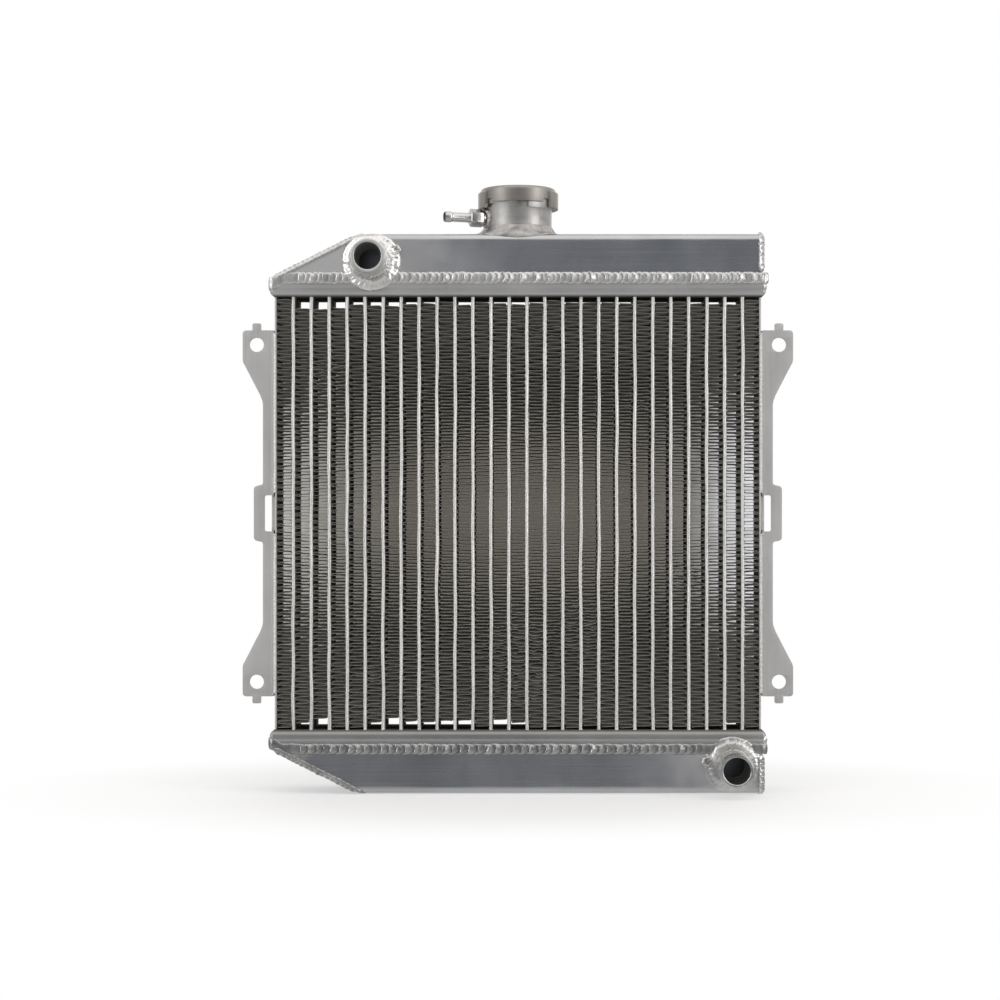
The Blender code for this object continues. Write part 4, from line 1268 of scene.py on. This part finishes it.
def pipe_weld(pipe, centre, section, seed, material, turned_over, crater, heavy_side, relief):
    """Cone of weld round a pipe's foot, wrapped over the tank's fold, with an end crater.
    heavy_side is the angle where the puddles stand highest, crater its (x, z) shift."""
    cx, _, cz = centre
    section = np.array(section)
    turns = np.arange(420) * 2 * PI / 420
    along = np.linspace(0, 1, len(section))
    mid = np.clip((along - 0.05) / 0.85, 0, 1)
    bulge = np.sin(PI * mid) ** 0.7
    crest = ring_crests(seed, count=34, jitter=0.18, spread=0.30, sizes=(0.4, 1.7),
                        lag=0.16 * (1 - (2 * mid - 1) ** 2), shortest=0.05)
    harmonics = ((3, 0.4), (7, 2.0), (13, 1.0), (21, 4.0), (34, 0.2))
    toe = 0.5 * sum(np.sin(k * turns + phase) / k ** 0.6 for k, phase in harmonics)
    wave = Wave(seed + 3, 9.0)
    rings = []
    for t, toe_here in zip(turns, toe):
        points = section.copy()
        heavy = 0.38 + 0.40 * (0.5 + 0.5 * math.cos(t - heavy_side))
        push = heavy * crest(t) - 0.12 + 0.26 * ring_lump(wave, points, t)
        push = relief * push * bulge
        push[-2:] = 0
        points += 0.62 * push[:, None]
        points[:, 0] += np.where(along < 0.35, 0.55 * toe_here * (1 - along / 0.35), 0)
        points[0, 1] = -0.9
        points[-1] = section[-1]
        radius, height = points.T
        up = cz + radius * math.sin(t)
        if turned_over:
            up = HEIGHT - up
        past = np.clip(up - (HEIGHT - FOLD), 0, FOLD)
        back = FOLD - np.sqrt(np.maximum(FOLD * FOLD - past ** 2, 0))
        up = np.minimum(up, HEIGHT - 0.1)
        y = -TANK_Y - height + back * np.clip(1 - height / 6.0, 0, 1)
        rings.append(np.stack([cx + radius * math.cos(t), y, up], 1))
    name = pipe + "_cone_weld"
    lofted(name, mirrored(rings, turned_over), material, "weld_aluminium", pipe + "_weld",
           closed=True, angle=62)

    def place(u, v, h):
        return (cx + crater[0] + u, -TANK_Y - 0.9 - h, cz + crater[1] + v)

    def bump(angles, points):
        shift = np.zeros((len(angles), len(points), 2))
        uneven = 0.35 * np.sin(2 * angles + 0.5) + 0.22 * np.sin(5 * angles + 2.0)
        shift[:, :, 0] = uneven[:, None] * (points[:, 0] > 3.5)[None]
        shift[:, :, 1] = 0.3 * uneven[:, None] * (points[:, 1] > 0.3)[None]
        return shift

    turned(name + "_crater", CRATER, material, "weld_aluminium", segments=48, bump=bump,
           place=place)


hose_pipe("inlet_hose_pipe", "inlet_pipe", INLET, PIPE_IN)
hose_pipe("outlet_hose_pipe", "outlet_pipe", OUTLET, PIPE_OUT)
pipe_weld("inlet", INLET, INLET_CONE, seed=91, material=WELD_PIPE, turned_over=False,
          crater=(18.3, 8.6), heavy_side=-1.0, relief=1.0)
pipe_weld("outlet", OUTLET, OUTLET_CONE, seed=95, material=WELD_OUTLET, turned_over=True,
          crater=(-20.0, 3.4), heavy_side=0.9, relief=0.8)


# ================================================================== mounting brackets
BRACKET_THICK = 2.0
BEND_R = 2.3                # outer radius of the bend
NARROW_X, TAB_X = 198.2, 205.3
HOLE_X, HOLE_Z, HOLE_R = 203.0, 131.0, 5.5
SLOT_HALF, SLOT_X, SLOT_R = 14.0, 196.8, 1.5


def bracket_outline(ear, end):
    """Outer edge of a bracket's front leg, as (x, height above the middle)."""
    return np.array([
        (TAB_X, 0.0), (TAB_X, 19.0), (TAB_X - 0.5, 20.2), (TAB_X - 1.7, 21.2),
        (NARROW_X + 1.0, 22.2), (NARROW_X + 0.2, 23.0), (NARROW_X, 24.5), (NARROW_X, 84.0),
        (NARROW_X + 0.5, 87.5), (NARROW_X + 2.2, 92.0), (ear - 1.6, 115.2), (ear - 0.5, 117.2),
        (ear, 119.4), (ear, end - 2.6), (ear - 0.25, end - 1.5), (ear - 0.9, end - 0.7),
        (ear - 1.8, end - 0.2), (ear - 2.8, end)])


def bracket_section(x_out, root, front, back):
    """Level section of the bent sheet, as (x, y)."""
    bend, thin = root + BEND_R, BEND_R - BRACKET_THICK
    loop = [(x_out, front), ((x_out + bend) / 2, front)]
    for k in range(8):
        a = math.radians(90 * k / 7)
        loop.append((bend - BEND_R * math.sin(a), front + BEND_R - BEND_R * math.cos(a)))
    loop += [(root, (front + back) / 2), (root, back), (root + BRACKET_THICK, back),
             (root + BRACKET_THICK, (front + back) / 2)]
    for k in range(5):
        a = math.radians(90 * (4 - k) / 4)
        loop.append((bend - thin * math.sin(a), front + BEND_R - thin * math.cos(a)))
    return loop + [((x_out + bend) / 2, front + BRACKET_THICK), (x_out, front + BRACKET_THICK)]


def bracket_sheet(side, sign, root, ear, end, front, back):
    """Bent sheet with two ears, a pip at each end, two round holes and a notch in the middle."""
    edge_x, edge_z = bracket_outline(ear, end).T
    zs = sorted({*edge_z, *np.linspace(0, end, 60), end - 0.02})
    warp = Wave(120 + sign, 70.0)
    rings = []
    for z in [-z for z in zs[::-1] if z > 0] + zs:
        ring = []
        for x, y in bracket_section(float(np.interp(abs(z), edge_z, edge_x)), root, front, back):
            bow = 0.10 * warp.at(x, y, z) * clamp01((x - root - 3) / 8.0)
            ring.append((sign * x, y + abs(bow), MID_Z + z))
        rings.append(ring)
    obj = lofted("bracket_sheet_" + side, rings, BRACKET, smooth=False)
    pip_shape = ((-3.4, -1.5), (3.4, -1.5), (3.4, 4.4), (2.6, 5.4), (-2.6, 5.4), (-3.4, 4.4))
    for way in (-1, 1):
        pip = [(sign * (HOLE_X + x), MID_Z + way * end + way * z) for x, z in pip_shape]
        tool = tool_prism(pip, front + 0.02, front + BRACKET_THICK - 0.02, along_y)
        boolean(obj, tool, "UNION")
    for z in (-HOLE_Z, HOLE_Z):
        hole = circle(HOLE_R, 48, (sign * HOLE_X, MID_Z + z))
        boolean(obj, tool_prism(hole, front - 5, front + 6, along_y))
    corner = []
    for k in range(7):
        a = math.radians(90 * k / 6)
        corner.append((SLOT_X - SLOT_R + SLOT_R * math.sin(a),
                       SLOT_HALF - SLOT_R + SLOT_R * math.cos(a)))
    notch = corner + [(x, -z) for x, z in corner[::-1]]
    notch += [(root - 3, -SLOT_HALF), (root - 3, SLOT_HALF)]
    notch = [(sign * x, MID_Z + z) for x, z in notch]
    boolean(obj, tool_prism(notch, front - 5, -20, along_y))
    bevelled(obj, 0.32)
    claim(outward(obj), "bracket_aluminium", "bracket_" + side)


def bracket(side, sign):
    low, high = box_mm("bracket_" + side)
    root, ear = (high[0], low[0]) if sign < 0 else (low[0], high[0])
    root, ear = abs(root), abs(ear)
    front, back = low[1], high[1]
    end = (high[2] - low[2]) / 2 - 5.4
    bracket_sheet(side, sign, root, ear, end, front, back)
    right = sign > 0
    # thin runs along the bend, above and below the notch
    for k, (start, stop) in enumerate(((-end + 1.5, -15.5), (15.5, end - 1.5))):
        upright_bead(
            "bracket_seam_%s_%d" % (side, k + 1), sign * (root + 0.1), front + 1.9,
            MID_Z + np.linspace(start, stop, 60), (-sign * 0.25, -1.0, 0.0), width=3.0,
            height=0.75, material=WELD_LIGHT, pitch=1.85, coarse=3.7, seed=160 + 10 * right + k,
            sink=0.6, scallop=0.14, ripple=0.3, big=0.4, taper=1.5)
    upright_bead(
        "bracket_slot_weld_" + side, sign * (root + 0.7), -20.1,
        MID_Z + np.linspace(-SLOT_HALF, SLOT_HALF, 20), (0.0, -1.0, 0.0), width=2.6, height=0.8,
        material=WELD_LIGHT, pitch=1.9, coarse=3.9, seed=175 + right, sink=0.6, scallop=0.12,
        taper=1.5)
    # short welds along the leg's rear edge
    for k, z in enumerate((-118.0, -60.0, 60.0, 118.0)):
        upright_bead(
            "bracket_weld_%s_%d" % (side, k + 1), sign * (root + 0.6), back + 0.2,
            MID_Z + z + np.linspace(-9, 9, 12), (sign * 0.8, 0.6, 0.0), width=4.2, height=1.4,
            material=WELD, seed=130 + 10 * right + k, sink=0.8, taper=2.0)


bracket("left", -1)
bracket("right", 1)


# ================================================================== filler neck
def fold_angle(angle):
    """Angle in degrees within the half turn that repeats: -90 to 90."""
    return (angle + 90.0) % 180.0 - 90.0


def twofold(name, section, step, cuts, material, slot, node, **options):
    """Revolves a section that changes with the angle and repeats after half a turn."""
    half = sorted({*np.arange(-90, 90, step), *cuts})
    angles = [start + a for start in (0.0, 180.0) for a in half]
    revolved(name, [section(a) for a in angles], [math.radians(a) for a in angles], material,
             slot, node, **options)


def neck_section(angle):
    """Neck with cam ramps under its flange and a notch in the flange at front and back."""
    a = fold_angle(angle)
    under = CAM_LOW + CAM_RISE * a / 90.0 if a >= -19.0 else CAM_LOW - 2.6
    out = 26.7 if abs(abs(a) - 90.0) <= 17.0 else FLANGE_R
    return [
        (SEAT_R, HEIGHT - 2.6), (16.6, HEIGHT - 2.6), (16.6, HEIGHT - 0.2),
        (NECK_R, HEIGHT - 0.2), (NECK_R, HEIGHT + 10.0), (NECK_R, under - 0.25),
        (NECK_R + 0.15, under), (out - 0.10, under), (out, under + 0.25), (out, RIM - 0.5),
        (out - 0.15, RIM - 0.15), (out - 0.4, RIM), (THROAT_R + 0.5, RIM),
        (THROAT_R + 0.12, RIM - 0.15), (THROAT_R, RIM - 0.5), (THROAT_R, SEAT_Z + 0.6),
        (THROAT_R - 0.5, SEAT_Z), (17.2, SEAT_Z), (16.6, SEAT_Z + 0.35), (16.0, SEAT_Z + 0.35),
        (SEAT_R, SEAT_Z - 0.1)]


# Section of the fillet round the neck's foot: radius, height over the tank.
NECK_FILLET = np.array([
    (26.0, -0.8), (33.4, -0.8), (33.5, 0.1), (32.9, 0.75), (31.9, 1.25), (30.7, 1.9),
    (29.6, 2.8), (28.7, 3.9), (28.0, 5.1), (27.4, 6.3), (26.95, 7.2), (26.6, 7.6), (26.0, 7.4)])


def neck_weld():
    """Concave fillet round the neck's foot, following the tank's folds at front and back."""
    along = np.linspace(0, 1, len(NECK_FILLET))
    mid = np.clip((along - 0.12) / 0.78, 0, 1)
    bulge = np.sin(PI * mid) ** 0.7
    crest = ring_crests(141, count=62, jitter=0.2, spread=0.35, sizes=(0.3, 1.8),
                        lag=0.10 * (1 - (2 * mid - 1) ** 2), shortest=0.03)
    wave = Wave(142, 8.0)
    near_edge = TANK_Y - 2.4
    rings = []
    for t in np.arange(480) * 2 * PI / 480:
        points = NECK_FILLET.copy()
        front = max(0.0, -math.sin(t)) ** 6
        lump = (0.18 + 0.25 * front) * ring_lump(wave, points, t)
        push = (0.34 * crest(t) - 0.1 + lump) * bulge
        # a long toe under the overflow fitting
        toe = 7.0 * max(0.0, -math.cos(t - 0.25)) ** 5 * np.clip(1.0 - along / 0.62, 0, 1)
        toe[0] = 0.0
        points[:, 0] += toe
        points += 0.6 * push[:, None]
        radius, height = points.T
        y = radius * math.sin(t)
        out = np.abs(y)
        out = np.where(out > near_edge, near_edge + 0.30 * (out - near_edge), out)
        # the tank's fold falls away under the front and back
        past = np.clip(out - (TANK_Y - FOLD), 0, 5.6)
        fall = FOLD - np.sqrt(FOLD * FOLD - past ** 2)
        z = HEIGHT + height - fall * np.clip(1.0 - height / 7.0, 0, 1)
        rings.append(np.stack([radius * math.cos(t), np.sign(y) * out, z], 1))
    lofted("neck_fillet_weld", rings, WELD_NECK, "weld_aluminium", "neck_weld", closed=True,
           angle=62)


# Overflow fitting: radius, distance from the neck's axis.
BARB_PROFILE = [
    (0.0, 23.2), (4.4, 23.2), (4.4, 28.4), (5.6, 29.0), (5.6, 33.0), (4.0, 34.0), (4.0, 41.6),
    (3.85, 42.2), (3.8, 43.0), (3.8, 49.0), (3.8, 54.6), (3.88, 55.1), (4.25, 55.9), (4.4, 56.5),
    (4.4, 57.4), (4.35, 58.4), (4.2, 59.6), (4.0, 60.6), (3.8, 61.0), (3.25, 61.0), (2.95, 60.7),
    (2.8, 60.2), (2.8, 45.0), (0.0, 45.0)]
# Its hexagon: distance from the neck's axis, radius over the corners.
HEXAGON = [(29.8, 6.3), (30.4, 6.9), (31.0, 7.15), (39.2, 7.15), (39.9, 6.8), (40.5, 6.1)]


def barb_place(u, v, w):
    c, s = math.cos(BARB_TURN), math.sin(BARB_TURN)
    return (w * c - u * s, w * s + u * c, BARB_Z + v)


def overflow_fitting():
    barb = turned("overflow_fitting", BARB_PROFILE, BARB, segments=64, place=barb_place)
    rings = [[barb_place(u, v, w) for u, v in circle(radius, 6, turn=0.5)]
             for w, radius in HEXAGON]
    boolean(barb, lofted("barb_hexagon", rings, body=None), "UNION")
    # one slot only, whatever the union brought along
    barb.data.materials.clear()
    barb.data.materials.append(BARB)
    bevelled(barb, 0.18, limit=28)
    claim(barb, "neck_aluminium", "overflow_barb")


def barb_fillet():
    """Bead round the fitting where it enters the neck."""
    origin = np.array(barb_place(0, 0, 0.0))
    out = np.array(barb_place(0, 0, 1.0)) - origin
    points, normals = [], []
    for u, v in circle(6.0, 48):
        points.append(barb_place(u, v, math.sqrt(NECK_R ** 2 - u * u) + 0.2))
        side = np.array(barb_place(u, v, 0.0)) - origin
        normals.append(out * 0.8 + side / np.linalg.norm(side) * 0.6)
    bead("barb_fillet_weld", points, normals, width=4.6, height=1.9, material=WELD_NECK,
         pitch=2.2, seed=151, closed=True, sink=1.6, step=0.3)


twofold("neck_billet", neck_section, 3.0, [-73.05, -72.95, -19.05, -18.95, 72.95, 73.05],
        NECK, "neck_aluminium", "filler_neck")
neck_weld()
overflow_fitting()
barb_fillet()


# ================================================================== pressure cap
def cover_section(angle):
    """Pressed cover: a raised ear each side with a tab under the neck's cam, a relief beside
    each ear, and a plain skirt."""
    a = fold_angle(angle)
    beyond_ear = ease(abs(a), EAR_HALF, EAR_HALF + 1.4)
    ear = 1.0 - beyond_ear
    relief = beyond_ear * (1.0 - ease(abs(a), RELIEF_HALF, RELIEF_HALF + 1.4))
    low = SKIRT_LOW + (EAR_LOW - SKIRT_LOW) * ear + (RELIEF_LOW - SKIRT_LOW) * relief
    tab = 1.0 - ease(abs(a), 14.0, 14.8)
    out = SKIRT_R + (EAR_R - SKIRT_R) * ear
    shelf = low + 0.4
    if ear > 0:
        cam = CAM_LOW + CAM_RISE * a / 90.0 - 0.35
        shelf = cam if ear >= 1.0 else max(shelf, cam * ear + shelf * (1 - ear))
    inner = SKIRT_IN + (27.0 - SKIRT_IN) * tab
    top_skin = over(RIM, [(2.75, 3.5), (10.6, 3.5), (11.6, 3.65), (12.4, 4.1)])
    top_skin += over(CAP_TOP, [
        (13.6, -1.0), (14.3, -0.35), (15.3, -0.02), (16.4, 0.0), (19.2, 0.0), (19.7, -0.10),
        (20.2, -0.42), (20.9, -0.50), (21.6, -0.42), (22.1, -0.10), (22.6, 0.0), (26.6, 0.0),
        (27.6, -0.12), (28.5, -0.55), (29.2, -1.25), (29.6, -2.1), (SKIRT_R, -2.9),
        (SKIRT_R + (out - SKIRT_R) * 0.5, -3.3), (out, -4.0)])
    skirt = [
        (out, low + 0.55), (out - 0.12, low + 0.18), (out - 0.4, low), (inner + 0.25, low),
        (inner, low + 0.2), (inner, shelf - 0.05 if shelf > low + 0.3 else low + 0.35),
        (SKIRT_IN, shelf + 0.05)]
    under_skin = over(CAP_TOP, [
        (SKIRT_IN, -2.4), (27.6, -1.45), (22.9, -1.4), (20.9, -1.75), (19.0, -1.4),
        (15.6, -1.4), (14.6, -2.0)])
    return top_skin + skirt + under_skin + over(RIM, [(13.0, 2.6), (12.0, 2.3), (2.75, 2.3)])


COVER_CUTS = [14.0, 14.4, 14.8, 35.0, 35.35, 35.7, 36.05, 36.4, 46.0, 46.35, 46.7, 47.05, 47.4]
twofold("cap_cover_pressing", cover_section, 2.5, COVER_CUTS + [-a for a in COVER_CUTS],
        CAP, "cap_steel", "cap_cover", body="cap_cover", angle=32)

# Turned parts on the cap's axis: name, CAD node, material, body, slot, (radius, height) profile.
CAP_PARTS = [
    ("cap_rivet_turned", "cap_rivet", CAP_INNER, "cap_valve_unit", "cap_steel", over(RIM, [
        (0, -1.7), (3.6, -1.7), (4.0, -1.3), (4.0, 0.05), (2.3, 0.1), (2.3, 3.75), (5.1, 3.8),
        (5.2, 4.1), (5.0, 4.6), (4.4, 5.1), (3.4, 5.5), (2.0, 5.72), (1.0, 5.72), (0.7, 5.5),
        (0, 5.45)])),
    ("cap_bell_pressing", "cap_bell", CAP_INNER, "cap_valve_unit", "cap_steel",
     over(RIM, [(2.6, 1.3), (12.0, 1.3), (13.2, 0.9), (14.4, -0.1), (14.8, -1.2)])
     + over(SEAT_Z, [(14.8, 8.2), (15.2, 7.5), (14.6, 7.4), (14.0, 8.2)])
     + over(RIM, [(14.0, -1.3), (13.4, -0.4), (12.2, 0.4), (2.6, 0.4)])),
    ("cap_diaphragm_disc", "cap_diaphragm", SPRING, "cap_valve_unit", "spring_steel",
     over(RIM, [(2.6, 1.6), (16.0, 1.6), (26.2, 1.6), (26.2, 2.0), (16.0, 2.0), (2.6, 2.0)])),
    ("cap_upper_seal", "cap_upper_gasket", RUBBER, "cap_valve_unit", "rubber", over(RIM, [
        (20.4, 0.4), (20.7, 0.3), (25.9, 0.3), (26.2, 0.4), (26.2, 1.2), (25.9, 1.3),
        (20.7, 1.3), (20.4, 1.2)])),
    ("pressure_valve_disc", "pressure_valve_plate", CAP_INNER, "pressure_valve", "cap_steel",
     over(SEAT_Z, [
         (2.4, 2.4), (16.6, 2.4), (17.2, 2.7), (17.2, 3.4), (16.6, 3.4), (9.4, 3.4),
         (9.0, 3.1), (2.4, 3.1)])),
    ("pressure_valve_seal", "pressure_valve_gasket", RUBBER, "pressure_valve", "rubber",
     over(SEAT_Z, [
         (5.4, 0.5), (5.7, 0.3), (17.8, 0.3), (18.2, 0.6), (18.2, 1.8), (17.9, 2.1),
         (5.7, 2.1), (5.4, 1.9)])),
    ("vacuum_valve_turned", "vacuum_valve", BRASS, "vacuum_valve", "brass", over(SEAT_Z, [
        (0, -1.5), (6.4, -1.5), (6.8, -1.2), (6.8, -0.2), (6.4, 0.0), (1.6, 0.0), (1.3, 0.3),
        (1.3, 7.1), (4.1, 7.1), (4.4, 7.3), (4.4, 7.9), (4.1, 8.1), (0, 8.1)])),
]
for name, node, material, body, slot, profile in CAP_PARTS:
    turned(name, profile, material, slot, node, segments=72, body=body)


def spring(name, node, radius, wire, low, high, turns, body):
    """Coil spring with closed ends; low and high are the wire's centre heights."""
    steps, sides = int(turns * 36), 12
    closed_rise = wire * 1.03
    rings = []
    for i in range(steps + 1):
        lap = i / steps * turns
        if lap < 0.8:
            z = low + closed_rise * lap
        elif lap > turns - 0.8:
            z = high - closed_rise * (turns - lap)
        else:
            open_rise = (high - low - 1.6 * closed_rise) / (turns - 1.6)
            z = low + closed_rise * 0.8 + (lap - 0.8) * open_rise
        a = 2 * PI * lap
        rings.append([((radius + r) * math.cos(a), (radius + r) * math.sin(a), z + h)
                      for r, h in circle(wire / 2, sides)])
    return lofted(name, rings, SPRING, "spring_steel", node, angle=50, body=body)


main_spring = spring("main_spring_wire", "cap_main_spring", radius=11.0, wire=2.0,
                     low=SEAT_Z + 4.8, high=RIM - 1.0, turns=4.6, body="cap_valve_unit")
small_spring = spring("vacuum_spring_wire", "vacuum_valve_spring", radius=3.4, wire=0.6,
                      low=SEAT_Z + 4.1, high=SEAT_Z + 6.5, turns=2.6, body="pressure_valve")
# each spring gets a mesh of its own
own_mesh(main_spring)
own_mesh(small_spring)


# ================================================================== stage
# Glow of the floor in reflections, from seen square on to seen at a low angle.
FLOOR_GLOW = [
    (0.0, (0.62, 0.62, 0.61)), (0.55, grey(0.42)), (0.85, (0.20, 0.20, 0.21)),
    (1.0, (0.15, 0.155, 0.165))]


def floor_material():
    """Pale floor: shaded close to the object, and fading into the white of the backdrop."""
    n = Shader(bpy.data.materials.new("stage_floor"))
    n.principled({"Base Color": grey(0.94), "Roughness": 0.9})
    oval = n.scaled((1.0, 1.5, 1.0))
    far = n.add("VectorMath", {0: oval}, operation="LENGTH").outputs["Value"]
    fade = n.span(far, source=(0.20, 0.46), target=(0.40, 1.0), interpolation_type="SMOOTHSTEP")
    white = n.add("Emission", {"Color": grey(1)}).outputs["Emission"]
    seen = n.mix_shader(fade, n.find("BSDF_PRINCIPLED").outputs["BSDF"], white)
    facing = n.add("LayerWeight", {"Blend": 0.5}).outputs["Facing"]
    glow = n.add("Emission", {"Color": n.ramp(facing, FLOOR_GLOW)}).outputs["Emission"]
    camera_ray = n.add("LightPath").outputs["Is Camera Ray"]
    return n.surface(n.mix_shader(camera_ray, glow, seen))


floor = make("floor", [(-4000, -3200, 0), (4000, -3200, 0), (4000, 4000, 0), (-4000, 4000, 0)],
             [(0, 1, 2, 3)], floor_material(), smooth=False, body=None)
floor.location.z = -0.0004

# Room tones by direction, each from -1 to 1 on its axis: dim and cool ahead, light and warm
# overhead, brighter to both sides and behind.
HEIGHT_TONES = [
    (0.0, grey(0.40)), (0.44, (0.22, 0.23, 0.25)), (0.53, (0.165, 0.175, 0.195)),
    (0.62, (0.20, 0.21, 0.225)), (0.75, (0.38, 0.38, 0.375)), (0.88, (0.56, 0.55, 0.53)),
    (1.0, (0.60, 0.585, 0.56))]
SIDE_TONES = [
    (0.0, grey(0.42)), (0.16, grey(0.30)), (0.34, grey(0.0)), (0.66, grey(0.0)),
    (0.84, (0.34, 0.34, 0.33)), (1.0, (0.48, 0.47, 0.46))]
REAR_MASK = [(0.5, grey(0.0)), (0.85, grey(1.0))]


def studio_world():
    """White to the camera; a softly graded room to everything else."""
    world = bpy.data.worlds.new("studio")
    bpy.context.scene.world = world
    world.use_nodes = True
    world.node_tree.nodes.clear()
    n = Shader(world, "Generated")
    way = n.split()

    def tones(axis, stops):
        return n.ramp(n.span(way[axis], source=(-1, 1)), stops)

    room = n.mix(1.0, tones("Z", HEIGHT_TONES), tones("X", SIDE_TONES), blend="ADD")
    room = n.mix(tones("Y", REAR_MASK), room, grey(0.80))
    backgrounds = [n.add("Background", {"Color": colour, "Strength": 1.0}).outputs["Background"]
                   for colour in (room, grey(1))]
    camera_ray = n.add("LightPath").outputs["Is Camera Ray"]
    n.add("OutputWorld", {"Surface": n.mix_shader(camera_ray, *backgrounds)})


def area_light(name, place, aim, size, power, colour):
    data = bpy.data.lights.new(name, "AREA")
    data.shape = "RECTANGLE"
    data.size, data.size_y = size
    data.energy = power
    data.color = colour
    obj = bpy.data.objects.new(name, data)
    bpy.context.scene.collection.objects.link(obj)
    obj.location = place
    obj.rotation_euler = (Vector(aim) - Vector(place)).to_track_quat("-Z", "Y").to_euler()


# Area lights: name, place, aim, width and height, watts, colour.
LIGHTS = [
    ("top_soft", (0.1, -0.7, 1.9), (0, 0, 0.25), (3.0, 2.2), 11, (1.0, 0.985, 0.96)),
    ("left_low", (-1.25, -1.0, 0.02), (-0.1, 0, 0.25), (0.8, 0.5), 3, (1.0, 0.98, 0.97)),
    ("right_low", (1.15, -1.1, -0.02), (0.1, 0, 0.25), (0.7, 0.5), 2.5, (1.0, 0.98, 0.97)),
    ("left_soft", (-1.7, -1.2, 0.9), (0, 0, 0.25), (0.5, 1.2), 6, (1.0, 0.99, 0.97)),
    ("right_soft", (1.7, -1.0, 0.8), (0, 0, 0.22), (0.5, 1.2), 8, (1.0, 0.99, 0.97)),
    ("back_soft", (0.0, 1.8, 0.9), (0, 0, 0.25), (2.2, 1.2), 6, (1, 1, 1)),
]
SENSOR = 36.0
DISTANCE = 1.830      # camera to the front of the core
FIELD = 0.7782        # width in view at that distance


def place_camera():
    data = bpy.data.cameras.new("camera")
    camera = bpy.data.objects.new("camera", data)
    bpy.context.scene.collection.objects.link(camera)
    data.sensor_width = SENSOR
    data.lens = SENSOR * DISTANCE / FIELD
    data.shift_x = -0.040
    data.shift_y = 0.010
    data.clip_end = 30.0
    camera.location = (0.0172, -TUBE_Y * MM - DISTANCE, 0.2201)
    camera.rotation_euler = (math.radians(90), 0, 0)
    bpy.context.scene.camera = camera


studio_world()
for light in LIGHTS:
    area_light(*light)
place_camera()
bpy.context.scene.view_settings.view_transform = "Standard"

bpy.context.view_layer.update()
